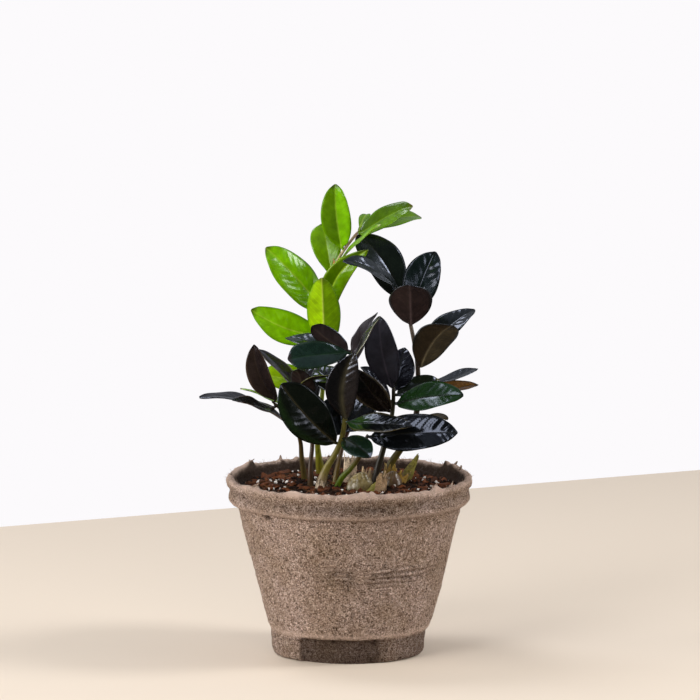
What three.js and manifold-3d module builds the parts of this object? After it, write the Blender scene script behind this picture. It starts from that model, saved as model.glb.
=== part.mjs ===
// Potted ZZ plant: a clump of dark leaf stalks and one young lime stalk, rooted in a moulded fibre pot.
// Millimetres, +Z up, the front of the plant towards -Y. The origin is the centre of the pot's underside.
import * as THREE from "three";
import { mergeVertices } from "three/addons/utils/BufferGeometryUtils.js";
import Module from "manifold-3d";

const wasm = await Module();
wasm.setup();

const CLEARANCE = 0.35; // between pieces that touch in the real plant

// ---------------------------------------------------------------- materials

function finish(color, roughness) {
  return new THREE.MeshStandardMaterial({ color, roughness, metalness: 0 });
}

const FIBRE = finish(0x8f7c6c, 0.95);
const POTTING_MIX = finish(0x2e1d14, 1.0);
const LIME_LEAF = finish(0x5f9a10, 0.35);
const DARK_LEAF = finish(0x15161a, 0.25);
const LIME_STEM = finish(0x8a9436, 0.5);
const DARK_STEM = finish(0x5c5226, 0.55);
const TUBER_SKIN = finish(0xa89a6c, 0.45);
const DRY_SHEATH = finish(0x7d6a2c, 0.7);

// ---------------------------------------------------------------- solids

// A closed geometry as a manifold-3d solid, and back again.
function solidOf(geometry) {
  const bare = geometry.index ? geometry.toNonIndexed() : geometry.clone();
  bare.deleteAttribute("normal");
  bare.deleteAttribute("uv");
  const merged = mergeVertices(bare, 1e-4);
  return new wasm.Manifold(
    new wasm.Mesh({
      numProp: 3,
      vertProperties: merged.attributes.position.array,
      triVerts: new Uint32Array(merged.index.array),
    }),
  );
}

function geometryOf(solid) {
  const mesh = solid.getMesh();
  const geometry = new THREE.BufferGeometry();
  geometry.setAttribute("position", new THREE.BufferAttribute(mesh.vertProperties, 3));
  geometry.setIndex(new THREE.BufferAttribute(mesh.triVerts, 1));
  geometry.computeVertexNormals();
  return geometry;
}

// A profile of [radius, height] pairs turned about +Z.
function turned(profile, segments) {
  const points = profile.map(([radius, height]) => new THREE.Vector2(radius, height));
  return new THREE.LatheGeometry(points, segments).rotateX(Math.PI / 2);
}

// ---------------------------------------------------------------- the fibre pot

const POT = {
  height: 111,
  lipRadius: 76.6, // outer edge of the rolled lip
  lipInside: 71.5,
  collarFoot: 93, // the collar runs from here to the lip
  collarRadius: 75.4,
  shoulder: 16.5, // the wall ends here, over the narrower foot
  footTop: 12.5,
  footRadius: 46.8,
  floor: 4,
  segments: 48,
};
const SOIL_EDGE = 103.4; // height of the mix where it meets the wall
const SOIL_CROWN = 105; // and round the stalks

// The inner face of the wall at one height, with the pot's own taper.
const WALL_INSIDE = { low: [46.2, 18], high: [66.6, 99] };
function wallInside(height) {
  const [lowRadius, lowHeight] = WALL_INSIDE.low;
  const [highRadius, highHeight] = WALL_INSIDE.high;
  const share = (height - lowHeight) / (highHeight - lowHeight);
  return lowRadius + share * (highRadius - lowRadius);
}

const FOOT_PANELS = { count: 3, width: 70, radius: 44.6 }; // shallow recesses round the foot, width in degrees
const DRAINS = { count: 4, radius: 4, circle: 26 };

// A block under the shoulder that cuts one recessed panel out of the foot.
function panelCutter(middle) {
  const half = THREE.MathUtils.degToRad(FOOT_PANELS.width / 2);
  const outline = new THREE.Shape();
  outline.absarc(0, 0, POT.lipRadius, middle - half, middle + half, false);
  outline.absarc(0, 0, FOOT_PANELS.radius, middle + half, middle - half, true);
  outline.closePath();
  const below = 1;
  const options = { depth: POT.footTop + below, bevelEnabled: false, curveSegments: 10 };
  return new THREE.ExtrudeGeometry(outline, options).translate(0, 0, -below);
}

function drainCutter(angle) {
  const long = 3 * POT.floor;
  return new THREE.CylinderGeometry(DRAINS.radius, DRAINS.radius, long, 16)
    .rotateX(Math.PI / 2)
    .translate(DRAINS.circle * Math.cos(angle), DRAINS.circle * Math.sin(angle), POT.floor / 2);
}

function fibrePot() {
  const profile = [
    [0, 0],
    [44.6, 0],
    [45.9, 1.4],
    [POT.footRadius, POT.footTop],
    [50.2, POT.shoulder],
    [69.6, POT.collarFoot - 0.6],
    [72.4, POT.collarFoot + 1.2],
    [75, POT.collarFoot + 6.5],
    [POT.collarRadius, POT.height - 5.5],
    [POT.lipRadius, POT.height - 3],
    [POT.lipRadius - 0.6, POT.height - 0.8],
    [POT.lipRadius - 2.6, POT.height],
    [POT.lipInside + 0.8, POT.height - 0.7],
    [POT.lipInside, POT.height - 2.6],
    [70.8, 105],
    [67.6, 102],
    WALL_INSIDE.high,
    WALL_INSIDE.low,
    [42.8, 13.5],
    [41.6, 5.6],
    [39.5, POT.floor],
    [0, POT.floor],
  ];
  let pot = solidOf(turned(profile, POT.segments));
  for (let i = 0; i < FOOT_PANELS.count; i += 1) {
    const middle = -Math.PI / 2 + (i * 2 * Math.PI) / FOOT_PANELS.count;
    pot = pot.subtract(solidOf(panelCutter(middle)));
  }
  for (let i = 0; i < DRAINS.count; i += 1) {
    const angle = ((i + 0.5) * 2 * Math.PI) / DRAINS.count;
    pot = pot.subtract(solidOf(drainCutter(angle)));
  }
  return geometryOf(pot);
}

// ---------------------------------------------------------------- stalks

// Each stalk follows a smooth curve through its points, from under the mix to its last leaflet.
// base and top are radii, and swell is how much fatter the fleshy foot is just above the mix.
const STALKS = {
  lime: {
    points: [[-19, 34, 92], [-18.5, 34, 109], [-20, 30, 126], [-18, 26, 147], [-15, 23, 180], [-13, 20, 214],
      [-8, 16, 241], [-3, 14, 250], [6, 12, 262]],
    base: 1.9, top: 0.9, swell: 0.9,
  },
  left: {
    points: [[-27, 21, 92], [-28, 20, 105], [-30, 17, 121], [-31, 14, 132], [-37, 7, 145], [-48, 0, 157]],
    base: 1.9, top: 1.0, swell: 0.3,
  },
  back: {
    points: [[-24, -5, 92], [-24, -5, 118], [-23, -4, 131], [-24, -4, 146], [-30, -8, 166]],
    base: 1.8, top: 1.0, swell: 0.4,
  },
  front: {
    points: [[-20, -12, 92], [-18, -14, 105], [-15, -16, 116], [-9, -20, 127], [-5, -25, 137], [-3, -30, 149],
      [-1, -32, 170], [1, -32, 194]],
    base: 2.5, top: 1.0, swell: 0.9,
  },
  middle: {
    points: [[-10, 3, 92], [-9, 3, 105], [-7, 6, 116], [-4, 10, 128], [2, 16, 142], [12, 21, 158]],
    base: 1.8, top: 1.0, swell: 0.3,
  },
  low: {
    points: [[-7, -6, 92], [-8, -4, 105], [-3, -8, 112], [4, -14, 121], [9, -20, 132], [11, -24, 140]],
    base: 1.9, top: 1.3, swell: 0.2,
  },
  centre: {
    points: [[15, -2, 92], [17, -3, 112], [21, -4, 128], [25, -6, 143], [27, -8, 156], [27, -8, 169]],
    base: 2.6, top: 1.1, swell: 0.6,
  },
  right: {
    points: [[20, 14, 92], [25, 14, 114], [32, 14, 125], [39, 11, 138], [42, 9, 152], [42, 6, 180],
      [39, 5, 198], [36, 4, 212], [32, 4, 226]],
    base: 2.7, top: 1.0, swell: 0.5,
  },
};

for (const stalk of Object.values(STALKS)) {
  const points = stalk.points.map((point) => new THREE.Vector3(...point));
  stalk.curve = new THREE.CatmullRomCurve3(points, false, "centripetal");
  stalk.length = stalk.curve.getLength();
}

// Radius of a stalk a given share of the way up: a taper, and the swollen foot.
function stalkRadius(stalk, share) {
  const taper = stalk.base + (stalk.top - stalk.base) * Math.pow(share, 0.7);
  const aboveRoot = share * stalk.length - 16; // from the level of the mix, where the foot is fattest
  return taper + stalk.swell * Math.exp(-Math.pow(aboveRoot / 10, 2));
}

// A cylinder drawn along the stalk's curve. spare makes it fatter, for the hole it needs in the mix.
function stalkGeometry(stalk, spare = 0) {
  const rings = Math.max(6, Math.round(stalk.length / 9));
  const geometry = new THREE.CylinderGeometry(1, 1, 1, 8, rings);
  const position = geometry.attributes.position;
  const sideways = new THREE.Vector3(1, 0, 0);
  const point = new THREE.Vector3();
  for (let i = 0; i < position.count; i += 1) {
    point.fromBufferAttribute(position, i);
    const share = THREE.MathUtils.clamp(point.y + 0.5, 0, 1);
    const along = stalk.curve.getTangentAt(share);
    const across = new THREE.Vector3().crossVectors(along, sideways).normalize();
    const beside = new THREE.Vector3().crossVectors(across, along);
    const radius = stalkRadius(stalk, share) + spare;
    const place = stalk.curve
      .getPointAt(share)
      .addScaledVector(beside, point.x * radius)
      .addScaledVector(across, -point.z * radius);
    if (share === 0) place.addScaledVector(along, -spare);
    position.setXYZ(i, ...place);
  }
  geometry.computeVertexNormals();
  return geometry;
}

// How far up its curve, as a share of its length, a stalk reaches a height.
function shareAtHeight(stalk, height) {
  let low = 0;
  let high = 1;
  for (let step = 0; step < 30; step += 1) {
    const middle = (low + high) / 2;
    if (stalk.curve.getPointAt(middle).z < height) low = middle;
    else high = middle;
  }
  return (low + high) / 2;
}

// ---------------------------------------------------------------- leaflets

// One leaflet: from is the height where it leaves its stalk, tip the place of its point, width its widest,
// and face the way its upper side looks. arch lifts the middle of the blade and bend bows it sideways, both
// as a share of its length. fold raises the margins over the midrib, as a share of the half width, widest
// is how far along the blade is broadest, and a lower taper makes its ends blunter.
const LEAFLETS = {
  lime: [
    { from: 250, tip: [-9, 3, 292], width: 19, face: [-0.2, -1, 0.1], fold: 0.3, bend: 0.015, taper: 1.3 },
    { from: 233, tip: [-17, 36, 264], width: 19, face: [0, -1, 0.5], widest: 0.6 },
    { from: 210, tip: [-52, 14, 251.5], width: 26, face: [0.45, -0.85, 0.3], fold: 0.12 },
    { from: 184, tip: [-17, -8, 236], width: 21, face: [0.1, 1, 0.4], arch: 0 },
    { from: 202, tip: [11.5, -4, 252], width: 15, face: [-0.1, -1, 0.3], bend: 0.15 },
    { from: 244, tip: [19, -10, 269], width: 8, face: [-0.8, -0.1, 0.7], arch: 0.02 },
    { from: 195, tip: [-61, 10, 213], width: 21, face: [0.2, -1, 0.4], arch: 0, bend: 0.08 },
    { from: 261, tip: [39, 0, 279], width: 17, face: [-0.3, -0.85, 1], fold: 0.15, taper: 1 },
    { from: 264, tip: [45, 30, 268.5], width: 20, face: [0, -0.45, 1], arch: 0.07, taper: 1.1 },
    { from: 262, tip: [11, 34, 270], width: 6.5, face: [0, -0.1, 1], widest: 0.7 },
    { from: 162, tip: [-57, 24, 170], width: 20, face: [0.1, -0.8, 0.7] },
  ],
  left: [
    { from: 156, tip: [-59, -10, 194], width: 15, face: [-0.2, -1, -0.1], fold: 0.3, bend: 0.08 },
    { from: 154, tip: [-93, -12, 162], width: 16, face: [0, -0.22, 1], fold: 0.1 },
    { from: 141, tip: [-72, -37, 164], width: 15, face: [0.2, -0.5, 1] },
  ],
  back: [
    { from: 165, tip: [-56, 8, 189], width: 13, face: [0.6, -0.5, 0.6], arch: 0.03 },
    { from: 158, tip: [-32, -22, 181], width: 16, face: [0.3, 0.8, 0.4], fold: 0.1 },
    { from: 152, tip: [-28, 18, 178], width: 17, face: [0, -0.6, 0.8] },
    { from: 149, tip: [-68, 15, 163.5], width: 7, face: [0, -0.1, 1], arch: 0.02 },
  ],
  front: [
    { from: 192, tip: [-38, -46, 190], width: 18, face: [0.1, -0.9, 0.5], arch: 0.03, widest: 0.62, taper: 1 },
    { from: 184, tip: [-40, -12, 199], width: 18, face: [0.1, -0.35, 0.9], arch: 0.09 },
    { from: 193, tip: [-23, -34, 209.5], width: 15, face: [0.2, 1, 0.5], arch: 0, bend: -0.06, taper: 0.9 },
    { from: 190, tip: [16.5, -8, 214], width: 21, face: [-0.6, 0.75, 0.5], arch: 0, fold: 0.1, widest: 0.2 },
    { from: 184, tip: [18.5, -48, 217], width: 12, face: [-0.9, -0.1, 0.5], arch: 0.02 },
    { from: 152, tip: [3, -46, 194], width: 20, face: [-0.1, -1, 0.2], fold: 0.3, bend: 0.1 },
    { from: 134, tip: [-42, -46, 175], width: 28, face: [0.1, -1, 0.2], fold: 0.12, bend: 0.04, widest: 0.56 },
    { from: 166, tip: [-22, -3, 178], width: 17, face: [0.1, -1, 0.4] },
    { from: 149, tip: [38, -52, 150], width: 20, face: [0, -0.55, 0.9], arch: 0, fold: 0.1, widest: 0.42 },
    { from: 139, tip: [13, -48, 129.5], width: 17, face: [0.1, -0.8, 0.6] },
    { from: 179, tip: [-31, -20, 171], width: 13, face: [0, 0.1, 1], arch: 0.03, fold: 0.1 },
  ],
  middle: [
    { from: 157, tip: [-2, 0, 138], width: 22, face: [0, -1, 0.2] },
    { from: 151, tip: [-24, 2, 140], width: 24, face: [0, -1, 0.1] },
  ],
  low: [
    { from: 139, tip: [66.5, -44, 144.5], width: 25, face: [0.1, -1, 0.6], fold: 0.12 },
  ],
  centre: [
    { from: 168, tip: [18, -26, 214], width: 21, face: [-0.2, -1, 0.1], bend: 0.03 },
    { from: 165, tip: [34, 8, 190], width: 20, face: [-0.1, -1, 0.4], widest: 0.4 },
    { from: 152, tip: [3, -24, 181], width: 20, face: [-0.4, -1, -0.1] },
    { from: 158, tip: [7, -6, 180], width: 15, face: [0.3, -0.4, 0.9] },
    { from: 157, tip: [70, -30, 166], width: 20, face: [0.1, -0.8, 0.6] },
    { from: 162, tip: [56, 3, 170], width: 15, face: [0.1, -0.6, 0.8] },
  ],
  right: [
    { from: 222, tip: [4.5, 13, 259.5], width: 25, face: [0.3, -1, 0.6], bend: -0.07, fold: 0.12, taper: 1.2 },
    { from: 226, tip: [-4, -20, 248], width: 15, face: [-0.1, -0.7, 1], arch: 0.09, taper: 1.2 },
    { from: 212, tip: [53, 6, 250], width: 24, face: [-0.35, -0.9, 0.2] },
    { from: 205, tip: [37, -22, 233], width: 27, face: [0, 0.8, 0.7], fold: 0.12 },
    { from: 186, tip: [78, 20, 212], width: 20, face: [-0.3, -0.6, 0.8] },
    { from: 178, tip: [63, -20, 208], width: 25, face: [-0.2, 1, 0.5], fold: 0.12, bend: -0.05, widest: 0.56, taper: 1.3 },
    { from: 161, tip: [80, 26, 174.5], width: 15, face: [0, -0.1, 1], arch: 0 },
    { from: 156, tip: [80, 0, 168], width: 20, face: [0.1, 0.5, 1] },
    { from: 144, tip: [61, 28, 141.5], width: 15, face: [0.1, 0.4, 1] },
  ],
};

const BLADE = {
  thick: 0.5, // half thickness along the midrib
  neck: 0.9, // half width and half thickness of the short stem at its base
  arch: 0.05,
  fold: 0.2,
  bend: 0,
  widest: 0.5,
  taper: 1.45, // the lower, the blunter both ends
  around: 8, // points round the section
  rings: 8, // steps along the length
};

// Half width at a share t of the length: t^a (1-t)^b, scaled to 1 at its widest, a pointed oval.
function bladeOutline(t, widest, taper) {
  const a = taper * widest;
  const b = taper * (1 - widest);
  return Math.pow(t / widest, a) * Math.pow((1 - t) / (1 - widest), b);
}

// A unit sphere drawn out into a blade: its poles are the base and the tip, its equator the margins.
function bladeGeometry(blade) {
  const { start, tip, width, face, arch, fold, bend, widest, taper } = { ...BLADE, ...blade };
  const geometry = new THREE.SphereGeometry(1, BLADE.around, BLADE.rings);
  const along = new THREE.Vector3().subVectors(tip, start);
  const length = along.length();
  along.normalize();
  const up = face.clone().addScaledVector(along, -face.dot(along)).normalize();
  const side = new THREE.Vector3().crossVectors(up, along);
  const position = geometry.attributes.position;
  const point = new THREE.Vector3();
  for (let i = 0; i < position.count; i += 1) {
    point.fromBufferAttribute(position, i);
    const t = Math.acos(THREE.MathUtils.clamp(-point.y, -1, 1)) / Math.PI;
    const ring = Math.hypot(point.x, point.z);
    const across = ring < 1e-6 ? 0 : point.x / ring;
    const through = ring < 1e-6 ? 0 : -point.z / ring;
    const inside = ring < 1e-6 ? 0 : 1;
    const neck = BLADE.neck * Math.exp(-(t * length) / 4);
    const halfWidth = inside * Math.max(neck, (width / 2) * bladeOutline(t, widest, taper));
    const halfThick = inside * (BLADE.thick * Math.sqrt(1 - t) + neck * 0.6);
    const bow = 4 * t * (1 - t) * length;
    const lift = arch * bow + fold * Math.abs(across) * halfWidth;
    const place = start
      .clone()
      .addScaledVector(along, t * length)
      .addScaledVector(side, across * halfWidth + bend * bow)
      .addScaledVector(up, lift + through * halfThick);
    position.setXYZ(i, ...place);
  }
  geometry.computeVertexNormals();
  return geometry;
}

// The leaflet's base stands just clear of its stalk, on the side it grows to.
function leafletGeometry(stalk, leaflet) {
  const share = shareAtHeight(stalk, leaflet.from);
  const root = stalk.curve.getPointAt(share);
  const stem = stalk.curve.getTangentAt(share);
  const tip = new THREE.Vector3(...leaflet.tip);
  const outwards = new THREE.Vector3().subVectors(tip, root);
  outwards.addScaledVector(stem, -outwards.dot(stem)).normalize();
  const start = root.addScaledVector(outwards, stalkRadius(stalk, share) + BLADE.neck + CLEARANCE);
  return bladeGeometry({ ...leaflet, start, tip, face: new THREE.Vector3(...leaflet.face) });
}

// ---------------------------------------------------------------- tubers and the dry sheath

// A tuber is an egg, its broad end down, leaning by tilt degrees towards +X.
const TUBERS = {
  front: { centre: [7, -22, 105], radii: [8, 7, 12.5], tilt: 22 },
  right: { centre: [27, -4, 103], radii: [6.2, 6, 11.5], tilt: 8 },
};

function tuberGeometry({ centre, radii, tilt }, spare = 0) {
  const geometry = new THREE.SphereGeometry(1, 12, 8).rotateX(Math.PI / 2);
  const position = geometry.attributes.position;
  for (let i = 0; i < position.count; i += 1) {
    const narrowing = 1 - 0.22 * position.getZ(i);
    position.setX(i, position.getX(i) * narrowing);
    position.setY(i, position.getY(i) * narrowing);
  }
  const [x, y, z] = radii;
  geometry.scale(x + spare, y + spare, z + spare);
  return geometry.rotateY(THREE.MathUtils.degToRad(tilt)).translate(...centre);
}

const SHEATH = {
  start: new THREE.Vector3(34, 14, 107.5),
  tip: new THREE.Vector3(44, 16, 123),
  face: new THREE.Vector3(-0.6, 0.8, 0.3),
  width: 9,
  arch: 0.1,
  fold: 0.5,
};

// ---------------------------------------------------------------- the potting mix

// One body that fills the pot, with a hole for each stalk and tuber that goes down into it.
function pottingMix() {
  const profile = [
    [0, POT.floor + CLEARANCE],
    [38.8, POT.floor + CLEARANCE],
    [41, 6.2],
    [42.2, 13.8],
    [wallInside(18.4) - CLEARANCE, 18.4],
    [wallInside(99) - CLEARANCE, 99],
    [66.7, 101.7],
    [65.5, SOIL_EDGE],
    [40, SOIL_CROWN - 0.6],
    [0, SOIL_CROWN],
  ];
  let mix = solidOf(turned(profile, 40));
  for (const stalk of Object.values(STALKS)) {
    mix = mix.subtract(solidOf(stalkGeometry(stalk, CLEARANCE)));
  }
  for (const tuber of Object.values(TUBERS)) {
    mix = mix.subtract(solidOf(tuberGeometry(tuber, CLEARANCE)));
  }
  return geometryOf(mix);
}

// ---------------------------------------------------------------- assembly

const plant = new THREE.Group();

function add(name, geometry, material) {
  const mesh = new THREE.Mesh(geometry, material);
  mesh.name = name;
  plant.add(mesh);
}

add("pot", fibrePot(), FIBRE);
add("potting_mix", pottingMix(), POTTING_MIX);
for (const [name, tuber] of Object.entries(TUBERS)) {
  add(`${name}_tuber`, tuberGeometry(tuber), TUBER_SKIN);
}
add("dry_sheath", bladeGeometry(SHEATH), DRY_SHEATH);
for (const [name, stalk] of Object.entries(STALKS)) {
  const young = name === "lime";
  add(`${name}_stalk`, stalkGeometry(stalk), young ? LIME_STEM : DARK_STEM);
  LEAFLETS[name].forEach((leaflet, index) => {
    const geometry = leafletGeometry(stalk, leaflet);
    add(`${name}_leaflet_${index + 1}`, geometry, young ? LIME_LEAF : DARK_LEAF);
  });
}

export default plant;
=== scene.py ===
"""A young ZZ plant in a moulded fibre pot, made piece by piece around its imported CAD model."""

import bpy
import numpy as np
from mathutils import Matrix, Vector


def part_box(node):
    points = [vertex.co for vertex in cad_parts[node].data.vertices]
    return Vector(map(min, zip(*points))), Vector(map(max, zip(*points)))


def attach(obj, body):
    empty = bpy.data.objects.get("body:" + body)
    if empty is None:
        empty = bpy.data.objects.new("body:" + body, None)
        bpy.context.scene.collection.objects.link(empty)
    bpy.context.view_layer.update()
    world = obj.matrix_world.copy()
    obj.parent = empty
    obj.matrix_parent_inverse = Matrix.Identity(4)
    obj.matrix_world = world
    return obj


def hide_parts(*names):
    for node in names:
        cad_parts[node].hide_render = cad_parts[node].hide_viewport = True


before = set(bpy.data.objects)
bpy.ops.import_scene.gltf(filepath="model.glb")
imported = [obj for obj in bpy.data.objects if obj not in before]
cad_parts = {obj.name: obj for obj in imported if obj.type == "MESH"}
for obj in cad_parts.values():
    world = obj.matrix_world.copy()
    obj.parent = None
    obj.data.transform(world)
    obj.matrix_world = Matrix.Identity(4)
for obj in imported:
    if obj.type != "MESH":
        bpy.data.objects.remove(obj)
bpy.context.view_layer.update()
MM = 0.001  # sizes below are in millimetres, and Blender works in metres


# ---------------------------------------------------------------- camera, table and light
# A table in a warm off-white, turned a little, against a bright white wall, seen slightly from above through
# a long lens. Soft boxes high on the left, on the right and behind put the gleams on the wax; broad low fills
# light the pot and the undersides, and the room behind the camera is dim.

CAMERA_DISTANCE = 4.0
CAMERA_ELEVATION = np.radians(8.3)
CAMERA_LENS = 333
AIM = Vector((0.0003, 0, 0.189))

camera_data = bpy.data.cameras.new("camera")
camera_data.lens = CAMERA_LENS
camera_data.clip_end = 50
camera = bpy.data.objects.new("camera", camera_data)
camera.location = AIM + CAMERA_DISTANCE * Vector((0, -np.cos(CAMERA_ELEVATION), np.sin(CAMERA_ELEVATION)))
camera.rotation_euler = (np.pi / 2 - CAMERA_ELEVATION, 0, 0)
bpy.context.scene.collection.objects.link(camera)
bpy.context.scene.camera = camera
bpy.context.scene.view_settings.view_transform = "Standard"


def from_hex(code):
    """An sRGB colour such as "#8f7c6c" as linear red, green, blue and alpha."""
    srgb = np.array([int(code[i : i + 2], 16) for i in (1, 3, 5)]) / 255
    linear = np.where(srgb <= 0.04045, srgb / 12.92, ((srgb + 0.055) / 1.055) ** 2.4)
    return (*linear, 1.0)


def add_node(tree, kind, inputs=None, **settings):
    """Adds a node with its settings, and fills its inputs with values or links them to other sockets."""
    node = tree.nodes.new("ShaderNode" + kind)
    for name, value in settings.items():
        setattr(node, name, value)
    for name, value in (inputs or {}).items():
        if isinstance(value, bpy.types.NodeSocket):
            tree.links.new(value, node.inputs[name])
        else:
            node.inputs[name].default_value = value
    return node


def new_material(name):
    """A material with an empty node tree."""
    material = bpy.data.materials.new(name)
    material.use_nodes = True
    material.node_tree.nodes.clear()
    return material, material.node_tree


def finish_material(tree, surface):
    """Ends a material in the shader that is its surface."""
    add_node(tree, "OutputMaterial", {"Surface": surface.outputs[0]})


def mesh_object(name, points, faces, material, smooth=True):
    """A mesh object from an array of points in metres and a list of faces."""
    mesh = bpy.data.meshes.new(name)
    mesh.from_pydata(points, [], faces)
    mesh.materials.append(material)
    mesh.polygons.foreach_set("use_smooth", np.full(len(mesh.polygons), smooth))
    piece = bpy.data.objects.new(name, mesh)
    bpy.context.scene.collection.objects.link(piece)
    return piece


TABLE_SIZE = (2.4, 1.05)  # along its back edge and from back to front, in metres
TABLE_TURN = np.radians(26)
TABLE_BACK = (0, 0.567)  # a point on its back edge

table_paint, tree = new_material("warm white table paint")
coat = add_node(tree, "BsdfPrincipled", {"Base Color": from_hex("#dbccb9"), "Roughness": 0.8})
finish_material(tree, coat)
along_edge = np.array([np.cos(TABLE_TURN), np.sin(TABLE_TURN)]) * TABLE_SIZE[0]
to_front = np.array([np.sin(TABLE_TURN), -np.cos(TABLE_TURN)]) * TABLE_SIZE[1]
corner_shares = ((-0.5, 1), (0.5, 1), (0.5, 0), (-0.5, 0))
corners = np.array([TABLE_BACK + along_edge * a + to_front * b for a, b in corner_shares])
table = mesh_object("table", np.pad(corners, ((0, 0), (0, 1))), [[0, 1, 2, 3]], table_paint, smooth=False)
table.visible_glossy = False  # the waxy leaves stay black underneath

room = bpy.data.worlds.new("white room")
room.use_nodes = True
tree = room.node_tree
tree.nodes.clear()
seen = add_node(tree, "Background", {"Color": from_hex("#fcfafc"), "Strength": 1.0})
way = add_node(tree, "SeparateXYZ", {0: add_node(tree, "TexCoord").outputs["Generated"]})
height_share = add_node(tree, "Math", {0: way.outputs["Z"], 1: 0.7}, operation="MULTIPLY")
brightness = add_node(tree, "Math", {0: way.outputs["Y"], 1: height_share.outputs[0]}, operation="ADD")
dimmed = add_node(
    tree,
    "MapRange",
    {"Value": brightness.outputs[0], "From Min": -0.4, "From Max": 0.7, "To Min": 0.03, "To Max": 0.42},
)
lit = add_node(tree, "Background", {"Color": from_hex("#f0f4ff"), "Strength": dimmed.outputs[0]})
rays = add_node(tree, "LightPath")
both = add_node(tree, "MixShader", {0: rays.outputs["Is Camera Ray"], 1: lit.outputs[0], 2: seen.outputs[0]})
add_node(tree, "OutputWorld", {"Surface": both.outputs[0]})
bpy.context.scene.world = room


def softbox(name, place, width, height, watts, colour, in_gloss=True):
    """A rectangular area light that faces the middle of the plant: its place, width and height in metres and
    its power in watts. The wax mirrors it only where in_gloss is true."""
    data = bpy.data.lights.new(name, "AREA")
    data.shape = "RECTANGLE"
    data.size = width
    data.size_y = height
    data.energy = watts
    data.color = from_hex(colour)[:3]
    light = bpy.data.objects.new(name, data)
    light.location = place
    light.visible_glossy = in_gloss
    light.rotation_euler = (AIM - Vector(place)).to_track_quat("-Z", "Y").to_euler()
    bpy.context.scene.collection.objects.link(light)


softbox("left softbox", (-0.96, -1.27, 1.04), 0.7, 1.25, 19, "#fbfcff")
softbox("right softbox", (1.43, -0.08, 1.2), 0.5, 0.42, 15, "#fbfcff")
softbox("front fill", (0.5, -2.2, 0.6), 1.2, 1.0, 14, "#fffaf6", in_gloss=False)
softbox("left fill", (-1.9, -0.35, 0.35), 1.2, 0.8, 34, "#fffaf4")
softbox("right fill", (1.9, -0.2, 0.35), 1.2, 0.8, 17, "#fffaf4")
softbox("overhead softbox", (-0.61, 0.51, 1.58), 0.6, 0.5, 9, "#f4f7ff")


# ---------------------------------------------------------------- the fibre pot
# A round pot moulded from waste paper and wood fibre: a tapered wall, a thick rolled collar, and a narrower
# foot with three shallow recesses. The felted surface is rough, its rim ragged where the fibre tore.


def smoothstep(low, high, value):
    """0 below low, 1 above high, and 3u^2 - 2u^3 between, where u is the share of the way."""
    share = np.clip((value - low) / (high - low), 0, 1)
    return share * share * (3 - 2 * share)


def bump_at(value, middle, width):
    """A smooth bump, 1 at the middle and near 0 twice the width away: exp(-((value - middle) / width)^2)."""
    return np.exp(-(((value - middle) / width) ** 2))


def angle_from(around, degrees):
    """Angle round the pot from a direction, in degrees from -180 to 180."""
    return (np.degrees(around) - degrees + 180) % 360 - 180


def noise(points, size, seed, octaves=1):
    """Smooth random height from -1 to 1 at each point: a lattice of random numbers, one every size, blended
    by 3u^2 - 2u^3 between its points, and each further octave at half the size and half the height."""
    table = np.random.default_rng(seed).uniform(-1, 1, (64, 64, 64))
    total = np.zeros(len(points))
    for octave in range(octaves):
        spot = points / size * 2**octave + 17.3 * (octave + 1)
        cell = np.floor(spot).astype(int)
        part = spot - cell
        part = part * part * (3 - 2 * part)
        for corner in np.ndindex(2, 2, 2):
            weight = np.prod(np.where(corner, part, 1 - part), axis=1)
            total += weight * table[tuple(((cell + corner) % 64).T)] / 2**octave
    return total


def grid_faces(rows, columns, closed):
    """Quads of a grid of rows by columns, joined from the last column to the first where it is closed."""
    row, column = np.indices((rows - 1, columns if closed else columns - 1))
    beside = (column + 1) % columns
    start, start_above = row * columns, (row + 1) * columns
    corners = [start + column, start + beside, start_above + beside, start_above + column]
    return np.stack(corners, -1).reshape(-1, 4)


def resampled(profile, step):
    """A profile's points joined by straight lines, with new points evenly spaced about step apart."""
    lengths = np.linalg.norm(np.diff(profile, axis=0), axis=1)
    total = np.concatenate([[0], np.cumsum(lengths)])
    spots = np.linspace(0, total[-1], max(2, round(total[-1] / step) + 1))
    return np.stack([np.interp(spots, total, profile[:, k]) for k in range(2)], 1)


def rounded(profile, passes):
    """A profile with its corners cut back, each pass replacing every corner by two points (Chaikin)."""
    for _ in range(passes):
        near = 0.75 * profile[:-1] + 0.25 * profile[1:]
        far = 0.25 * profile[:-1] + 0.75 * profile[1:]
        cut = np.stack([near, far], 1).reshape(-1, 2)
        profile = np.concatenate([profile[:1], cut[1:-1], profile[-1:]])
    return profile


POT_TURNS = 512  # points round the pot
LIP_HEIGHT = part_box("pot")[1].z / MM
LIP_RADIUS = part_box("pot")[1].x / MM
WALL_FINE = 0.86  # spacing of the rows on the outside, close enough for lumps in the fibre
WALL_COARSE = 6  # and inside, under the mix
FIRST_ROUGH_ROW = 5  # the last rows of the underside and the first of the inside share the outside's lumps
FOOT_TOP = 13.5
SHOULDER = 17.5
FLOOR_THICK = 4

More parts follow.
